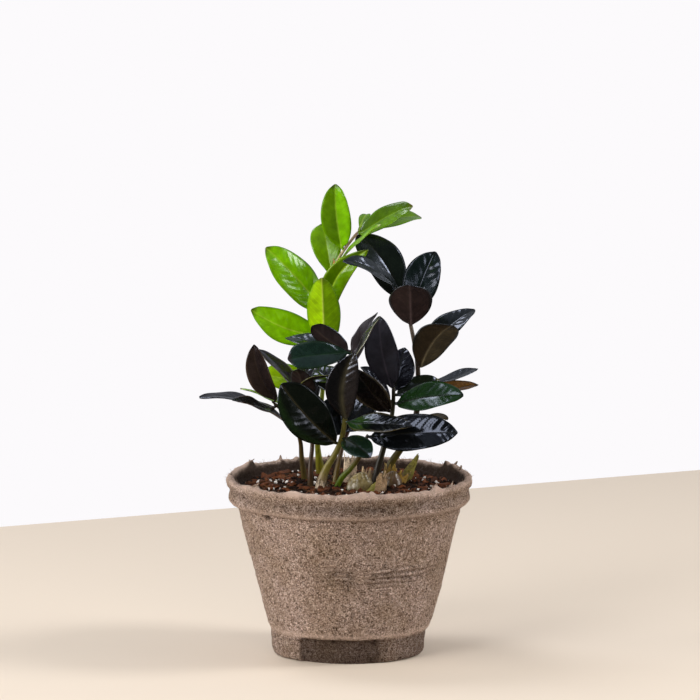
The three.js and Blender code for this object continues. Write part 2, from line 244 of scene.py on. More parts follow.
# Radius and height at each point of the profile: the flat underside, then the foot, shoulder, wall, collar
# and lip up and over to the mix, then the inner wall down to the middle of the floor.
underside = np.array([[0, 0], [30, 0], [43.6, 0]])
outside = np.array(
    [
        [43.6, 0], [46.2, 1.2], [47.2, 5], [47.6, FOOT_TOP], [48.2, 15], [50.4, SHOULDER],
        [69.0, 91.2], [69.6, 93.6], [72.2, 93.8], [74.4, 95.2], [75.0, 98], [74.0, 101], [74.0, 103.6],
        [75.6, 105.2], [LIP_RADIUS - 0.2, 107.6], [LIP_RADIUS - 0.9, LIP_HEIGHT - 0.8],
        [73.8, LIP_HEIGHT - 0.3], [71.6, LIP_HEIGHT - 1.2], [70.9, LIP_HEIGHT - 4],
        [70.4, 106], [69.6, 104.2], [67.4, 102.6], [66.4, 98],
    ]
)
inside = np.array(
    [
        [66.4, 98], [46, 18], [42.6, 13.5], [41.4, 5.6],
        [39.5, FLOOR_THICK], [20, FLOOR_THICK], [0, FLOOR_THICK],
    ]
)
fine = resampled(rounded(outside, 2), WALL_FINE)
profile = np.concatenate([resampled(underside, WALL_COARSE), fine[1:], resampled(inside, WALL_COARSE)[1:]])
profile = profile[1:-1]  # the two end points are single points on the axis

turn = np.linspace(0, 2 * np.pi, POT_TURNS, endpoint=False)
radius = np.repeat(profile[:, :1], POT_TURNS, 1)
height = np.repeat(profile[:, 1:], POT_TURNS, 1)
around = np.repeat(turn[None], len(profile), 0)

# The slope of the profile gives the way out of the wall, along which every lump moves it.
slope = np.gradient(profile, axis=0)
slope /= np.linalg.norm(slope, axis=1, keepdims=True)
outward = np.repeat(slope[:, 1:], POT_TURNS, 1)
upward = np.repeat(-slope[:, :1], POT_TURNS, 1)
spots = np.stack([radius * np.cos(around), radius * np.sin(around), height], -1).reshape(-1, 3)
row_number = np.arange(len(profile))
rough_rows = (row_number >= FIRST_ROUGH_ROW) & (row_number < FIRST_ROUGH_ROW + len(fine) + 3)
rough = np.repeat(rough_rows[:, None], POT_TURNS, 1).astype(float)  # 1 on the outside and the lip, else 0

lumps = 0.6 * noise(spots, 22, 1) + 0.3 * noise(spots, 7, 2) + 0.34 * noise(spots, 2.6, 3, octaves=2)
lumps = lumps.reshape(radius.shape)

FOOT_RECESSES = (-95, 25, 145)  # middles of the three recesses, in degrees
RECESS_HALF = 35.5
foot = np.clip((SHOULDER - 2 - height) / 1.6, 0, 1) * (radius > 40) * (outward > 0.2)
recess = np.zeros_like(radius)
for middle in FOOT_RECESSES:
    left_edge = (RECESS_HALF + angle_from(around, middle)) / 1.6  # crisp on this side, worn on the other
    right_edge = (RECESS_HALF - angle_from(around, middle)) / 9
    recess = np.maximum(recess, np.clip(np.minimum(left_edge, right_edge), 0, 1))
lumps += foot * (1.4 * bump_at(angle_from(around, -160), 0, 30) - 2.4 * recess)

# Wrinkles in the felt, where the wet fibre slumped as it came off the mould: a patch of fine ones in front,
# and longer folds, each with its direction and half width in degrees, its height on the wall and its rise.
WRINKLE_SPACING = 3.0
FOLDS = ((-28, 22, 87, 0.9), (-75, 30, 83, 0.5), (-110, 18, 78, 0.5), (60, 40, 70, 0.8), (160, 30, 62, 0.8))
waves = noise(spots, 14, 5).reshape(radius.shape)
patches = smoothstep(-0.5, 0.4, noise(spots, 11, 6).reshape(radius.shape) + 0.25)
front = bump_at(angle_from(around, -70), 0, 48) * (radius > 50)
ripple = np.sin((height + 1.8 * waves) * 2 * np.pi / WRINKLE_SPACING)
wrinkles = front * patches * bump_at(height, 57, 8) * ripple
lumps += 1.2 * wrinkles
for degrees, spread, level, rise in FOLDS:
    fold = bump_at(angle_from(around, degrees), 0, spread) * bump_at(height + 2 * waves, level, 1.1)
    lumps += rise * fold

# One small deep hole in the felt under the collar, and pits all over.
hole = bump_at(angle_from(around, -137.6), 0, 2.1) * bump_at(height, 91.8, 1.3)
lumps -= 2.4 * hole
pits = np.clip(noise(spots, 2.4, 7) - 0.55, 0, 1).reshape(radius.shape)
lumps -= 2.6 * pits

# The torn rim: fibre stands up or is missing along the lip. Bigger tears are listed by direction and half
# width in degrees, height, and how far the lip leans in there.
TEARS = (
    (149, 3.6, 2.2, 1.0), (126, 1.5, 1.6, 0.5), (-143.5, 3.0, 1.2, 3.0), (-84.5, 3.6, 1.4, 0),
    (-79, 1.6, 1.6, 0.8), (-43.7, 2.2, 2.2, 0.8), (-31, 1.4, 1.6, 1.0), (27, 3.2, 1.6, 0.6),
    (33, 1.5, 2.2, 1.2), (21, 1.4, 1.4, 0), (96, 1.6, 1.2, 0.4), (75, 1.8, 1.0, 0.4), (-118, 2.2, 0.8, 0.4),
)
lip = np.clip((height - (LIP_HEIGHT - 5)) / 4, 0, 1) * rough
ring = np.stack([60 * np.cos(around), 60 * np.sin(around), 0 * around], -1).reshape(-1, 3)
tear = noise(ring, 9, 8, octaves=4).reshape(radius.shape)
tufts = np.clip(noise(ring, 5, 9, octaves=2).reshape(radius.shape) - 0.75, 0, 1)
rise = lip * (0.8 * tear + 3.2 * tufts)
for degrees, spread, tall, inward in TEARS:
    flap = lip * bump_at(angle_from(around, degrees), 0, spread) * smoothstep(77, 73, radius)
    rise += tall * flap * (1 + 0.6 * tear)
    radius = radius - inward * flap

radius = radius + rough * lumps * outward
height = height + rough * lumps * upward * (height > 1) + rise
points = np.stack([radius * np.cos(around), radius * np.sin(around), np.maximum(height, 0)], -1)
points = points.reshape(-1, 3)
faces = grid_faces(len(profile), POT_TURNS, closed=True)
first, last = len(points), len(points) + 1
points = np.concatenate([points, [[0, 0, 0], [0, 0, FLOOR_THICK]]]) * MM
column = np.arange(POT_TURNS)
beside = (column + 1) % POT_TURNS
end_row = (len(profile) - 1) * POT_TURNS
start_cap = [(first, b, a) for a, b in zip(column, beside)]
end_cap = [(last, end_row + a, end_row + b) for a, b in zip(column, beside)]


def set_attribute(mesh, name, values):
    """Stores a number, or a colour as red, green and blue, at every point of a mesh for its material."""
    values = np.asarray(values, float).reshape(len(mesh.vertices), -1)
    if values.shape[1] == 3:
        colours = np.pad(values, ((0, 0), (0, 1)), constant_values=1)
        mesh.attributes.new(name, "FLOAT_COLOR", "POINT").data.foreach_set("color", colours.ravel())
    else:
        mesh.attributes.new(name, "FLOAT", "POINT").data.foreach_set("value", values.ravel())


# Moulded fibre: felted waste paper and wood pulp, dried and unfinished. It scatters light evenly, with pale
# fibres, darker specks and small pits. Painted shade darkens it in the foot's recesses and pits, inside the
# lip and round the collar, and its edges are paler with wear and painted highlight.
moulded_fibre, tree = new_material("moulded fibre")
place = add_node(tree, "TexCoord").outputs["Object"]
felt = add_node(
    tree,
    "TexNoise",
    {"Vector": place, "Scale": 1 / (1.5 * MM), "Detail": 3, "Roughness": 0.65, "Distortion": 2.2},
)
clouds = add_node(tree, "TexNoise", {"Vector": place, "Scale": 1 / (24 * MM), "Detail": 3, "Roughness": 0.6})
hairs = add_node(
    tree, "TexNoise", {"Vector": place, "Scale": 1 / MM, "Detail": 1, "Roughness": 0.5, "Distortion": 4}
)
specks = add_node(tree, "TexVoronoi", {"Vector": place, "Scale": 1 / (3.1 * MM), "Randomness": 1})
felt_tone = add_node(tree, "ValToRGB", {"Fac": felt.outputs[0]})
stops = felt_tone.color_ramp.elements
stops[0].position, stops[0].color = 0.36, from_hex("#3a2b22")
stops[1].position, stops[1].color = 0.64, from_hex("#fff2e8")
middle = stops.new(0.50)
middle.color = from_hex("#b09a8a")
cloud_tone = add_node(tree, "ValToRGB", {"Fac": clouds.outputs[0]})
stops = cloud_tone.color_ramp.elements
stops[0].position, stops[0].color = 0.3, from_hex("#cdbba4")
stops[1].position, stops[1].color = 0.7, from_hex("#f6eae6")
tinted = add_node(
    tree,
    "Mix",
    {0: 0.8, 6: felt_tone.outputs[0], 7: cloud_tone.outputs[0]},
    data_type="RGBA",
    blend_type="MULTIPLY",
)
speck_mask = add_node(
    tree,
    "MapRange",
    {"Value": specks.outputs["Distance"], "From Min": 0.12, "From Max": 0.30, "To Min": 0.55, "To Max": 0},
)
specked = add_node(
    tree, "Mix", {0: speck_mask.outputs[0], 6: tinted.outputs[2], 7: from_hex("#2e2019")}, data_type="RGBA"
)
# The damp attribute holds painted shade, and this mix darkens the felt by it towards #2a1b12.
damp = add_node(tree, "Attribute", attribute_name="damp")
shade_darkened = add_node(
    tree, "Mix", {0: damp.outputs["Fac"], 6: specked.outputs[2], 7: from_hex("#2a1b12")}, data_type="RGBA"
)
relief = add_node(tree, "Math", {0: felt.outputs[0], 1: hairs.outputs[0]}, operation="ADD")
# Paler edges, partly wear and partly painted highlight.
wear_and_highlight = add_node(tree, "Attribute", attribute_name="wear_and_highlight")
pale_wear_and_highlight = add_node(
    tree, "Mix", {0: wear_and_highlight.outputs["Fac"], 6: shade_darkened.outputs[2], 7: from_hex("#dcc0ae")}, data_type="RGBA"
)
raised = add_node(tree, "Bump", {"Height": relief.outputs[0], "Strength": 1.0, "Distance": 1.3 * MM})
fibre = add_node(
    tree,
    "BsdfPrincipled",
    {"Base Color": pale_wear_and_highlight.outputs[2], "Roughness": 0.95, "Normal": raised.outputs[0]},
)
fibre.inputs["Specular IOR Level"].default_value = 0.2
finish_material(tree, fibre)

pot = mesh_object("fibre_pot", points, faces.tolist() + start_cap + end_cap, moulded_fibre)

# Painted shade, held in the damp attribute: darker in the foot's recesses and under its ledge, inside the
# lip, in the hole, pits and wrinkle troughs, in the groove under the lip and on the collar's front.
inner = smoothstep(72.6, 71.0, radius) * (height > 96) * (outward < 0.5)
painted_shade = 0.58 * recess * foot + 0.18 * foot + 0.93 * inner
painted_shade = np.maximum(painted_shade, 0.95 * hole)
painted_shade += 0.3 * np.clip(-wrinkles, 0, 1) + 0.8 * pits + 0.25 * bump_at(height, 101.5, 3) * (outward > 0.5)
painted_shade += 0.25 * bump_at(height, 100, 6) * bump_at(angle_from(around, -85), 0, 40) * (outward > 0.3)
painted_shade = np.clip(painted_shade + 0.35 * foot * (1 - recess) * bump_at(angle_from(around, -25), 0, 45), 0, 0.95)
set_attribute(pot.data, "damp", np.concatenate([painted_shade.ravel(), [0, 0]]))
# The shoulder, the collar's lower edge and the lip are paler: partly wear, partly painted highlight
# where these edges catch the light.
edges = 0.45 * bump_at(height, SHOULDER, 1.6) + 0.45 * bump_at(height, 95.4, 1.2)
edges += 0.6 * smoothstep(106, 109.5, height) * (1 + 0.9 * tear)
edges *= (radius > 45) * (1 - painted_shade)
set_attribute(pot.data, "wear_and_highlight", np.concatenate([edges.ravel(), [0, 0]]))
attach(pot, "root")
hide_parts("pot")


# ---------------------------------------------------------------- stalks
# Eight fleshy leaf stalks rise from the tubers: smooth, round and tapered, thick and swollen at the foot.
# The young one is green; the mature ones darken from olive or papery beige to purple-brown higher up.


def cad_rings(node, near):
    """A CAD piece's points in rings from its end nearest to a given place, in millimetres: the first ring is
    that end's single point, and each further ring is one triangle further away."""
    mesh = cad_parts[node].data
    corners = np.empty(len(mesh.vertices) * 3)
    mesh.vertices.foreach_get("co", corners)
    places, index = np.unique(np.round(corners.reshape(-1, 3) / MM, 3), axis=0, return_inverse=True)
    triangles = index.ravel()[np.array([face.vertices[:] for face in mesh.polygons])]
    edges = np.concatenate([triangles[:, [0, 1]], triangles[:, [1, 2]], triangles[:, [2, 0]]])
    ends = np.flatnonzero(np.bincount(triangles.ravel()) == 8)
    steps = np.full(len(places), -1)
    steps[ends[np.argmin(np.linalg.norm(places[ends] - near, axis=1))]] = 0
    for step in range(len(places)):
        onward = edges[(steps[edges[:, 0]] == step) & (steps[edges[:, 1]] < 0), 1]
        if not len(onward):
            break
        steps[onward] = step + 1
    return [places[steps == step] for step in range(steps.max() + 1)]


def smooth_line(knots, shares):
    """A Catmull-Rom curve through evenly counted knots, at shares from 0 to 1 of the way along: between two
    knots it is the cubic whose slope at each knot is half the step between that knot's neighbours."""
    ends = np.concatenate([2 * knots[:1] - knots[1:2], knots, 2 * knots[-1:] - knots[-2:-1]])
    spot = np.clip(shares, 0, 1) * (len(knots) - 1)
    before = np.minimum(spot.astype(int), len(knots) - 2)
    u = (spot - before)[:, None]
    a, b, c, d = (ends[before + k] for k in range(4))
    return 0.5 * (2 * b + (c - a) * u + (2 * a - 5 * b + 4 * c - d) * u**2 + (3 * b - a - 3 * c + d) * u**3)


def unit(vectors):
    """Vectors of length 1 that point the same way."""
    return vectors / np.linalg.norm(vectors, axis=-1, keepdims=True)


def blend(first, second, amount):
    """The first value where amount is 0, the second where it is 1, and a mixture between."""
    return first + (second - first) * np.asarray(amount)[..., None]


def rgb(code):
    """An sRGB colour as linear red, green and blue."""
    return np.array(from_hex(code)[:3])


def skin(name, grid, material, slot, node=(), **fields):
    """A closed piece from a grid of points in millimetres, rows by columns by 3: each row closes on itself,
    and the first and last rows close on a point at their middles. Fields are numbers or colours on it."""
    rows, columns = grid.shape[:2]
    points = np.concatenate([grid.reshape(-1, 3), grid[:1].mean(1), grid[-1:].mean(1)])
    quads = grid_faces(rows, columns, closed=True)
    column = np.arange(columns)
    beside = (column + 1) % columns
    last_row = (rows - 1) * columns
    first = np.stack([np.full(columns, rows * columns), beside, column], 1)
    last = np.stack([np.full(columns, rows * columns + 1), last_row + column, last_row + beside], 1)
    triangles = np.concatenate([quads[:, :3], quads[:, [0, 2, 3]], first, last])
    a, b, c = (points[triangles[:, k]] for k in range(3))
    if np.einsum("ij,ij->", a, np.cross(b, c)) < 0:
        quads, first, last = quads[:, ::-1], first[:, ::-1], last[:, ::-1]
    piece = mesh_object(name, points * MM, quads.tolist() + first.tolist() + last.tolist(), material)
    for field, values in fields.items():
        ends = (values[:1].mean(1).ravel(), values[-1:].mean(1).ravel())
        set_attribute(piece.data, field, np.concatenate([values.ravel(), *ends]))
    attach(piece, "root")
    if node:
        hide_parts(node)


STALK_AROUND = 20
STALK_STEP = 1.3  # between rows along a stalk

# Colours up each stalk, as a share of its length and a colour.
STALK_COLOURS = {
    "lime": [
        (0, "#4a3a12"), (0.1, "#6b6410"), (0.25, "#66720f"),
        (0.8, "#7c8a2a"), (0.93, "#b29a80"), (1, "#b79a88"),
    ],
    "left": [(0, "#55471a"), (0.2, "#463a16"), (0.6, "#3e2d11"), (1, "#2b2016")],
    "back": [(0, "#4a3a18"), (0.25, "#33210f"), (1, "#241506")],
    "front": [(0, "#6b5a45"), (0.16, "#7a6750"), (0.24, "#6a6128"), (0.6, "#4e4a1c"), (1, "#3c3a1c")],
    "middle": [(0, "#6a7012"), (0.2, "#5a4a12"), (0.5, "#3a1f0a"), (1, "#241305")],
    "low": [(0, "#5f7a10"), (0.3, "#5a7014"), (0.7, "#4c391f"), (1, "#3a3018")],
    "centre": [(0, "#3a3020"), (0.25, "#1c150c"), (0.7, "#2a2a18"), (1, "#1c150c")],
    "right": [
        (0, "#6a5a1c"), (0.18, "#4c4412"), (0.3, "#2c2008"),
        (0.6, "#2c2014"), (0.85, "#584d43"), (1, "#4a3c34"),
    ],
}

# Living stalk skin: fleshy and smooth under a thin wax, with fine darker flecks drawn out along it.
stalk_skin, tree = new_material("waxy stalk skin")
tint = add_node(tree, "Attribute", attribute_name="tint")
place = add_node(tree, "TexCoord").outputs["Object"]
drawn_out = add_node(tree, "Mapping", {"Vector": place, "Scale": (1, 1, 0.3)})
flecks = add_node(tree, "TexNoise", {"Vector": drawn_out.outputs[0], "Scale": 1 / (1.6 * MM), "Detail": 3})
fleck_mask = add_node(
    tree,
    "MapRange",
    {"Value": flecks.outputs[0], "From Min": 0.50, "From Max": 0.68, "To Min": 0, "To Max": 0.5},
)
flecked = add_node(
    tree,
    "Mix",
    {0: fleck_mask.outputs[0], 6: tint.outputs["Color"], 7: from_hex("#241a0c")},
    data_type="RGBA",
)
raised = add_node(tree, "Bump", {"Height": flecks.outputs[0], "Strength": 0.35, "Distance": 0.2 * MM})
flesh = add_node(
    tree, "BsdfPrincipled", {"Base Color": flecked.outputs[2], "Roughness": 0.42, "Normal": raised.outputs[0]}
)
flesh.inputs["Specular IOR Level"].default_value = 0.3
finish_material(tree, flesh)


def tube(path, radii, around):
    """A grid of points round a path: each row is a circle square to the path, at that row's radius."""
    ahead = unit(np.gradient(path, axis=0))
    side = unit(np.cross(ahead, [0.05, 1, 0.02]))
    up = np.cross(side, ahead)
    angle = np.linspace(0, 2 * np.pi, around, endpoint=False)[None, :, None]
    return path[:, None] + radii[:, :, None] * (np.cos(angle) * side[:, None] + np.sin(angle) * up[:, None])


stalk_lines = {}
for seed, (stalk, colours) in enumerate(STALK_COLOURS.items()):
    node = f"{stalk}_stalk"
    low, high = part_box(node)
    rings = cad_rings(node, np.array([(low.x + high.x) / 2, (low.y + high.y) / 2, low.z - 1]) / MM)
    centres = np.array([ring.mean(0) for ring in rings[1:-1]])
    radii = np.array([np.linalg.norm(ring - ring.mean(0), axis=1).mean() for ring in rings[1:-1]])
    length = np.linalg.norm(np.diff(centres, axis=0), axis=1).sum()
    share = np.linspace(0, 1, round(length / STALK_STEP))
    path = smooth_line(centres, share)
    thick = smooth_line(radii[:, None], share)[:, 0]
    thick *= 1 + 0.05 * noise(path, 9, 20 + seed)
    thick[-3:] *= (0.85, 0.6, 0.3)  # the end is rounded off
    stalk_lines[stalk] = path
    grid = tube(path, np.repeat(thick[:, None], STALK_AROUND, 1), STALK_AROUND)
    stops = np.array([stop for stop, _ in colours])
    stop_colours = np.array([rgb(colour) for _, colour in colours])
    colour = np.stack([np.interp(share, stops, stop_colours[:, k]) for k in range(3)], 1)
    colour = np.repeat(colour[:, None], STALK_AROUND, 1)
    slot = "lime_stem" if stalk == "lime" else "dark_stem"
    skin(f"{stalk}_stem", grid, stalk_skin, slot, node, tint=colour)


# ---------------------------------------------------------------- leaflets
# Thick waxy leaflets sit in two rows up each stalk: pointed ovals with a groove down the middle, a rib under
# it, and side veins that quilt the upper face. Young ones are lime green, mature ones nearly black.

LEAF_ROWS = 60
LEAF_HALF = 13  # columns from the midrib to a margin
LEAF_THICK = 0.34  # half its thickness
NECK = 0.95  # radius of its short stem
TIP_START = 0.88  # from here on the outline runs nearly straight to the point
END_ROUNDNESS = 0.62  # 0.5 would be an ellipse

# Both kinds: the colours of the two faces, their midribs, the margin and the tip; how far the side veins
# show; and the quilting's height, the margin's wave and the rib's half width in millimetres.
LIME = dict(
    upper="#6aa000", under="#8cb600", rib="#9cba30", under_rib="#b4c840", edge="#568200", tip="#3e4a08",
    vein=0.2, quilt=0.10, wave=0.5, rib_width=0.45,
)
DARK = dict(
    upper="#0d0f0e", under="#211812", rib="#1c1c15", under_rib="#352b22", edge="#0d110d", tip="#0b0b0b",
    vein=0.12, quilt=0.16, wave=0.6, rib_width=0.55,
)
VEIN_SPACING = 5.2  # along the midrib
TIP_DROOP = 0.8  # how far a leaflet's point bends down
# What sets each leaflet apart from its kind: other colours on a face, on its left or right half, at its base
# or on one flank, stronger or weaker quilting, or its right half rolled back by some millimetres.
LEAVES = {
    "lime": [
        # The first has its left half painted darker: painted shade where its fold turns that half from the
        # light.
        dict(left="#507800", right="#68a000", tip="#2c3a10", rib="#84a828"),
        dict(upper="#5a8200", rib="#7a9c18"),
        dict(upper="#6ca400", quilt=0.26, vein=0.3, roll_right=2.6),
        dict(under="#92bc00", under_left="#6c9600", under_rib="#c0cc58", vein=0.6),
        dict(upper="#415e00", right="#557c00", edge="#7c9c18"),
        # The sixth has a pale tip: a painted highlight.
        dict(upper="#588400", tip="#a8b090"),
        dict(upper="#74ac00", quilt=0.14),
        dict(upper="#4c7000", tip="#4a3a14", under="#3c5c00", left="#3e5c00", rib="#648418"),
        dict(upper="#4c6e00", tip="#4a3a14", rib="#648018"),
        dict(upper="#588000"),
        dict(upper="#7a9c00", tip="#6a7a10"),
    ],
    "left": [
        dict(upper="#2c221d", right="#201816", edge="#463628", rib="#30261f", quilt=0.12),
        dict(upper="#1c1816", base="#3a2616", under="#3a2818"),
        dict(upper="#171615", edge="#5a4028", under="#4a3420"),
    ],
    "back": [
        dict(upper="#1d1414", edge="#6a5e50", quilt=0.1),
        dict(upper="#1a1412", under="#221812"),
        dict(upper="#161210"),
        dict(upper="#6a8a08", edge="#6a8a10", tip="#6a6a20"),
    ],
    "front": [
        dict(
            upper="#12221a", tip="#2c1c20", base="#16281a", rib="#1d2f1e", edge="#1c2c18",
            quilt=0.12, vein=0.3,
        ),
        dict(upper="#101c16", tip="#241a20", edge="#2a2028", quilt=0.1),
        dict(under="#211815", upper="#16100f", edge="#0e0a0a"),
        dict(upper="#1b1310", under="#241a18", edge="#2c2220"),
        dict(upper="#1c1a18", edge="#9a9a84", rib="#6a6a58"),
        dict(upper="#0e0d0c", right="#1e1a18", rib="#3a3626", rib_width=1.6, quilt=0.34, edge="#141010"),
        dict(upper="#0b0f08", flank="#16260d", rib="#34301e", rib_width=0.6, quilt=0.3),
        dict(upper="#101210"),
        dict(upper="#0a0c0c", base="#1c3c12", quilt=0.26, edge="#4a4020"),
        dict(upper="#0f1c12", edge="#16301a", quilt=0.12),
        dict(upper="#12140e", edge="#6a6a30", tip="#5a5a20", rib="#4a4a20"),
    ],
    "middle": [dict(upper="#0e1010"), dict(upper="#0e1010")],
    "low": [dict(upper="#090b0c", quilt=0.36, edge="#0b0f0b")],
    "centre": [
        dict(upper="#25242a", rib="#38343c", quilt=0.14, edge="#18161c"),
        dict(upper="#0f0f13", quilt=0.24),
        dict(upper="#0c0a09", under="#0c0a09", edge="#4c4434", rib="#24201c", under_rib="#14110f"),
        dict(upper="#0f1013", quilt=0.24),
        dict(upper="#122a0a", base="#16300f", edge="#1c3614", quilt=0.14, tip="#141c10"),
        dict(upper="#12180e", tip="#5c5a1c"),
    ],
    "right": [
        dict(upper="#101610", edge="#0d0f0e", quilt=0.07),
        dict(upper="#151a19", under="#4a3a30", quilt=0.10),
        dict(upper="#0d1714", quilt=0.15, spacing=7),
        dict(under="#302420", under_rib="#564644", under_left="#2c201c"),
        dict(upper="#131716", quilt=0.2),
        dict(under="#2e2414", under_left="#3c3422", under_rib="#6a6048"),
        dict(upper="#17191a"),
        dict(upper="#17191a", under="#6a4a18"),
        dict(upper="#1c1a12", under="#4c4420"),
    ],
}


def leaf_finish(name, dull, gleam, level):
    """Living leaf: a waxy cuticle over flesh, glossy above and duller below, with a gleam of its own colour.
    The tint and the places of the side veins come with the leaf; fine mottling and the veins' faint paler
    lines are added here."""
    material, tree = new_material(name)
    tint = add_node(tree, "Attribute", attribute_name="tint").outputs["Color"]
    place = add_node(tree, "TexCoord").outputs["Object"]
    mottle = add_node(tree, "TexNoise", {"Vector": place, "Scale": 1 / (5 * MM), "Detail": 3})
    grain = add_node(tree, "TexNoise", {"Vector": place, "Scale": 1 / (0.9 * MM), "Detail": 2})
    strength = add_node(
        tree,
        "MapRange",
        {"Value": mottle.outputs[0], "From Min": 0.3, "From Max": 0.7, "To Min": 0.78, "To Max": 1.22},
    )
    mottled = add_node(tree, "VectorMath", {0: tint, "Scale": strength.outputs[0]}, operation="SCALE")
    phase = add_node(tree, "Attribute", attribute_name="vein_phase").outputs["Fac"]
    share = add_node(tree, "Attribute", attribute_name="vein_strength").outputs["Fac"]
    beside_vein = add_node(tree, "Math", {0: phase, 1: 0.5}, operation="PINGPONG")
    line = add_node(
        tree,
        "MapRange",
        {"Value": beside_vein.outputs[0], "From Min": 0.02, "From Max": 0.1, "To Min": 1, "To Max": 0},
    )
    vein = add_node(tree, "Math", {0: line.outputs[0], 1: share}, operation="MULTIPLY")
    paler = add_node(tree, "VectorMath", {0: mottled.outputs[0], 1: (1.5, 1.4, 1.6)}, operation="MULTIPLY")
    veined = add_node(
        tree, "Mix", {0: vein.outputs[0], 6: mottled.outputs[0], 7: paler.outputs[0]}, data_type="RGBA"
    )
    under = add_node(tree, "Attribute", attribute_name="under").outputs["Fac"]
    dullness = add_node(tree, "MapRange", {"Value": under, "To Min": dull[0], "To Max": dull[1]})
    raised = add_node(tree, "Bump", {"Height": grain.outputs[0], "Strength": 0.25, "Distance": 0.12 * MM})
    flesh = add_node(
        tree,
        "BsdfPrincipled",
        {"Base Color": veined.outputs[2], "Roughness": dullness.outputs[0], "Normal": raised.outputs[0]},
    )
    flesh.inputs["Specular IOR Level"].default_value = level
    flesh.inputs["Specular Tint"].default_value = from_hex(gleam)
    finish_material(tree, flesh)
    return material


young_leaf = leaf_finish("waxy lime leaf", (0.2, 0.42), "#fafaf0", 0.32)
mature_leaf = leaf_finish("waxy black leaf", (0.18, 0.42), "#dde6ff", 0.5)

# Across a leaflet, from one margin at -1 to the other at 1: along the upper face, then back along the lower.
half = np.linspace(0, 1, LEAF_HALF + 1) ** 1.45  # closer together at the midrib
across = np.concatenate([-half[:0:-1], half])
section = np.concatenate([across, across[-2:0:-1]])
face_sign = np.concatenate([np.ones(len(across)), -np.ones(len(across) - 2)])
body = np.sqrt(np.clip(1 - np.abs(section) ** 7, 0, 1)) * face_sign
# Along it, from its base at 0 to its point at 1, with the rows closer together at both ends.
linear = np.linspace(0, 1, LEAF_ROWS)[1:-1]
along_shares = 0.5 * linear + 0.5 * (1 - np.cos(np.pi * linear)) / 2


def leaf_outline(shares, half_widths):
    """Half width at each share t of the length: r(t) (t (1 - t))^0.62, where r is a smooth line through the
    CAD blade's own half widths over that power. The last stretch is drawn in to a point instead."""
    steps = len(half_widths) + 1
    known = np.arange(1, steps) / steps
    ratio = np.asarray(half_widths) / (known * (1 - known)) ** END_ROUNDNESS

    def rounded_width(t):
        spot = (np.clip(t, known[0], known[-1]) - known[0]) / (known[-1] - known[0])
        return smooth_line(ratio[:, None], spot)[:, 0] * (t * (1 - t)) ** END_ROUNDNESS

    left = (1 - shares) / (1 - TIP_START)
    point = rounded_width(np.array([TIP_START])) * left * (1 + 0.47 * (1 - left))
    return np.where(shares > TIP_START, point, rounded_width(shares))


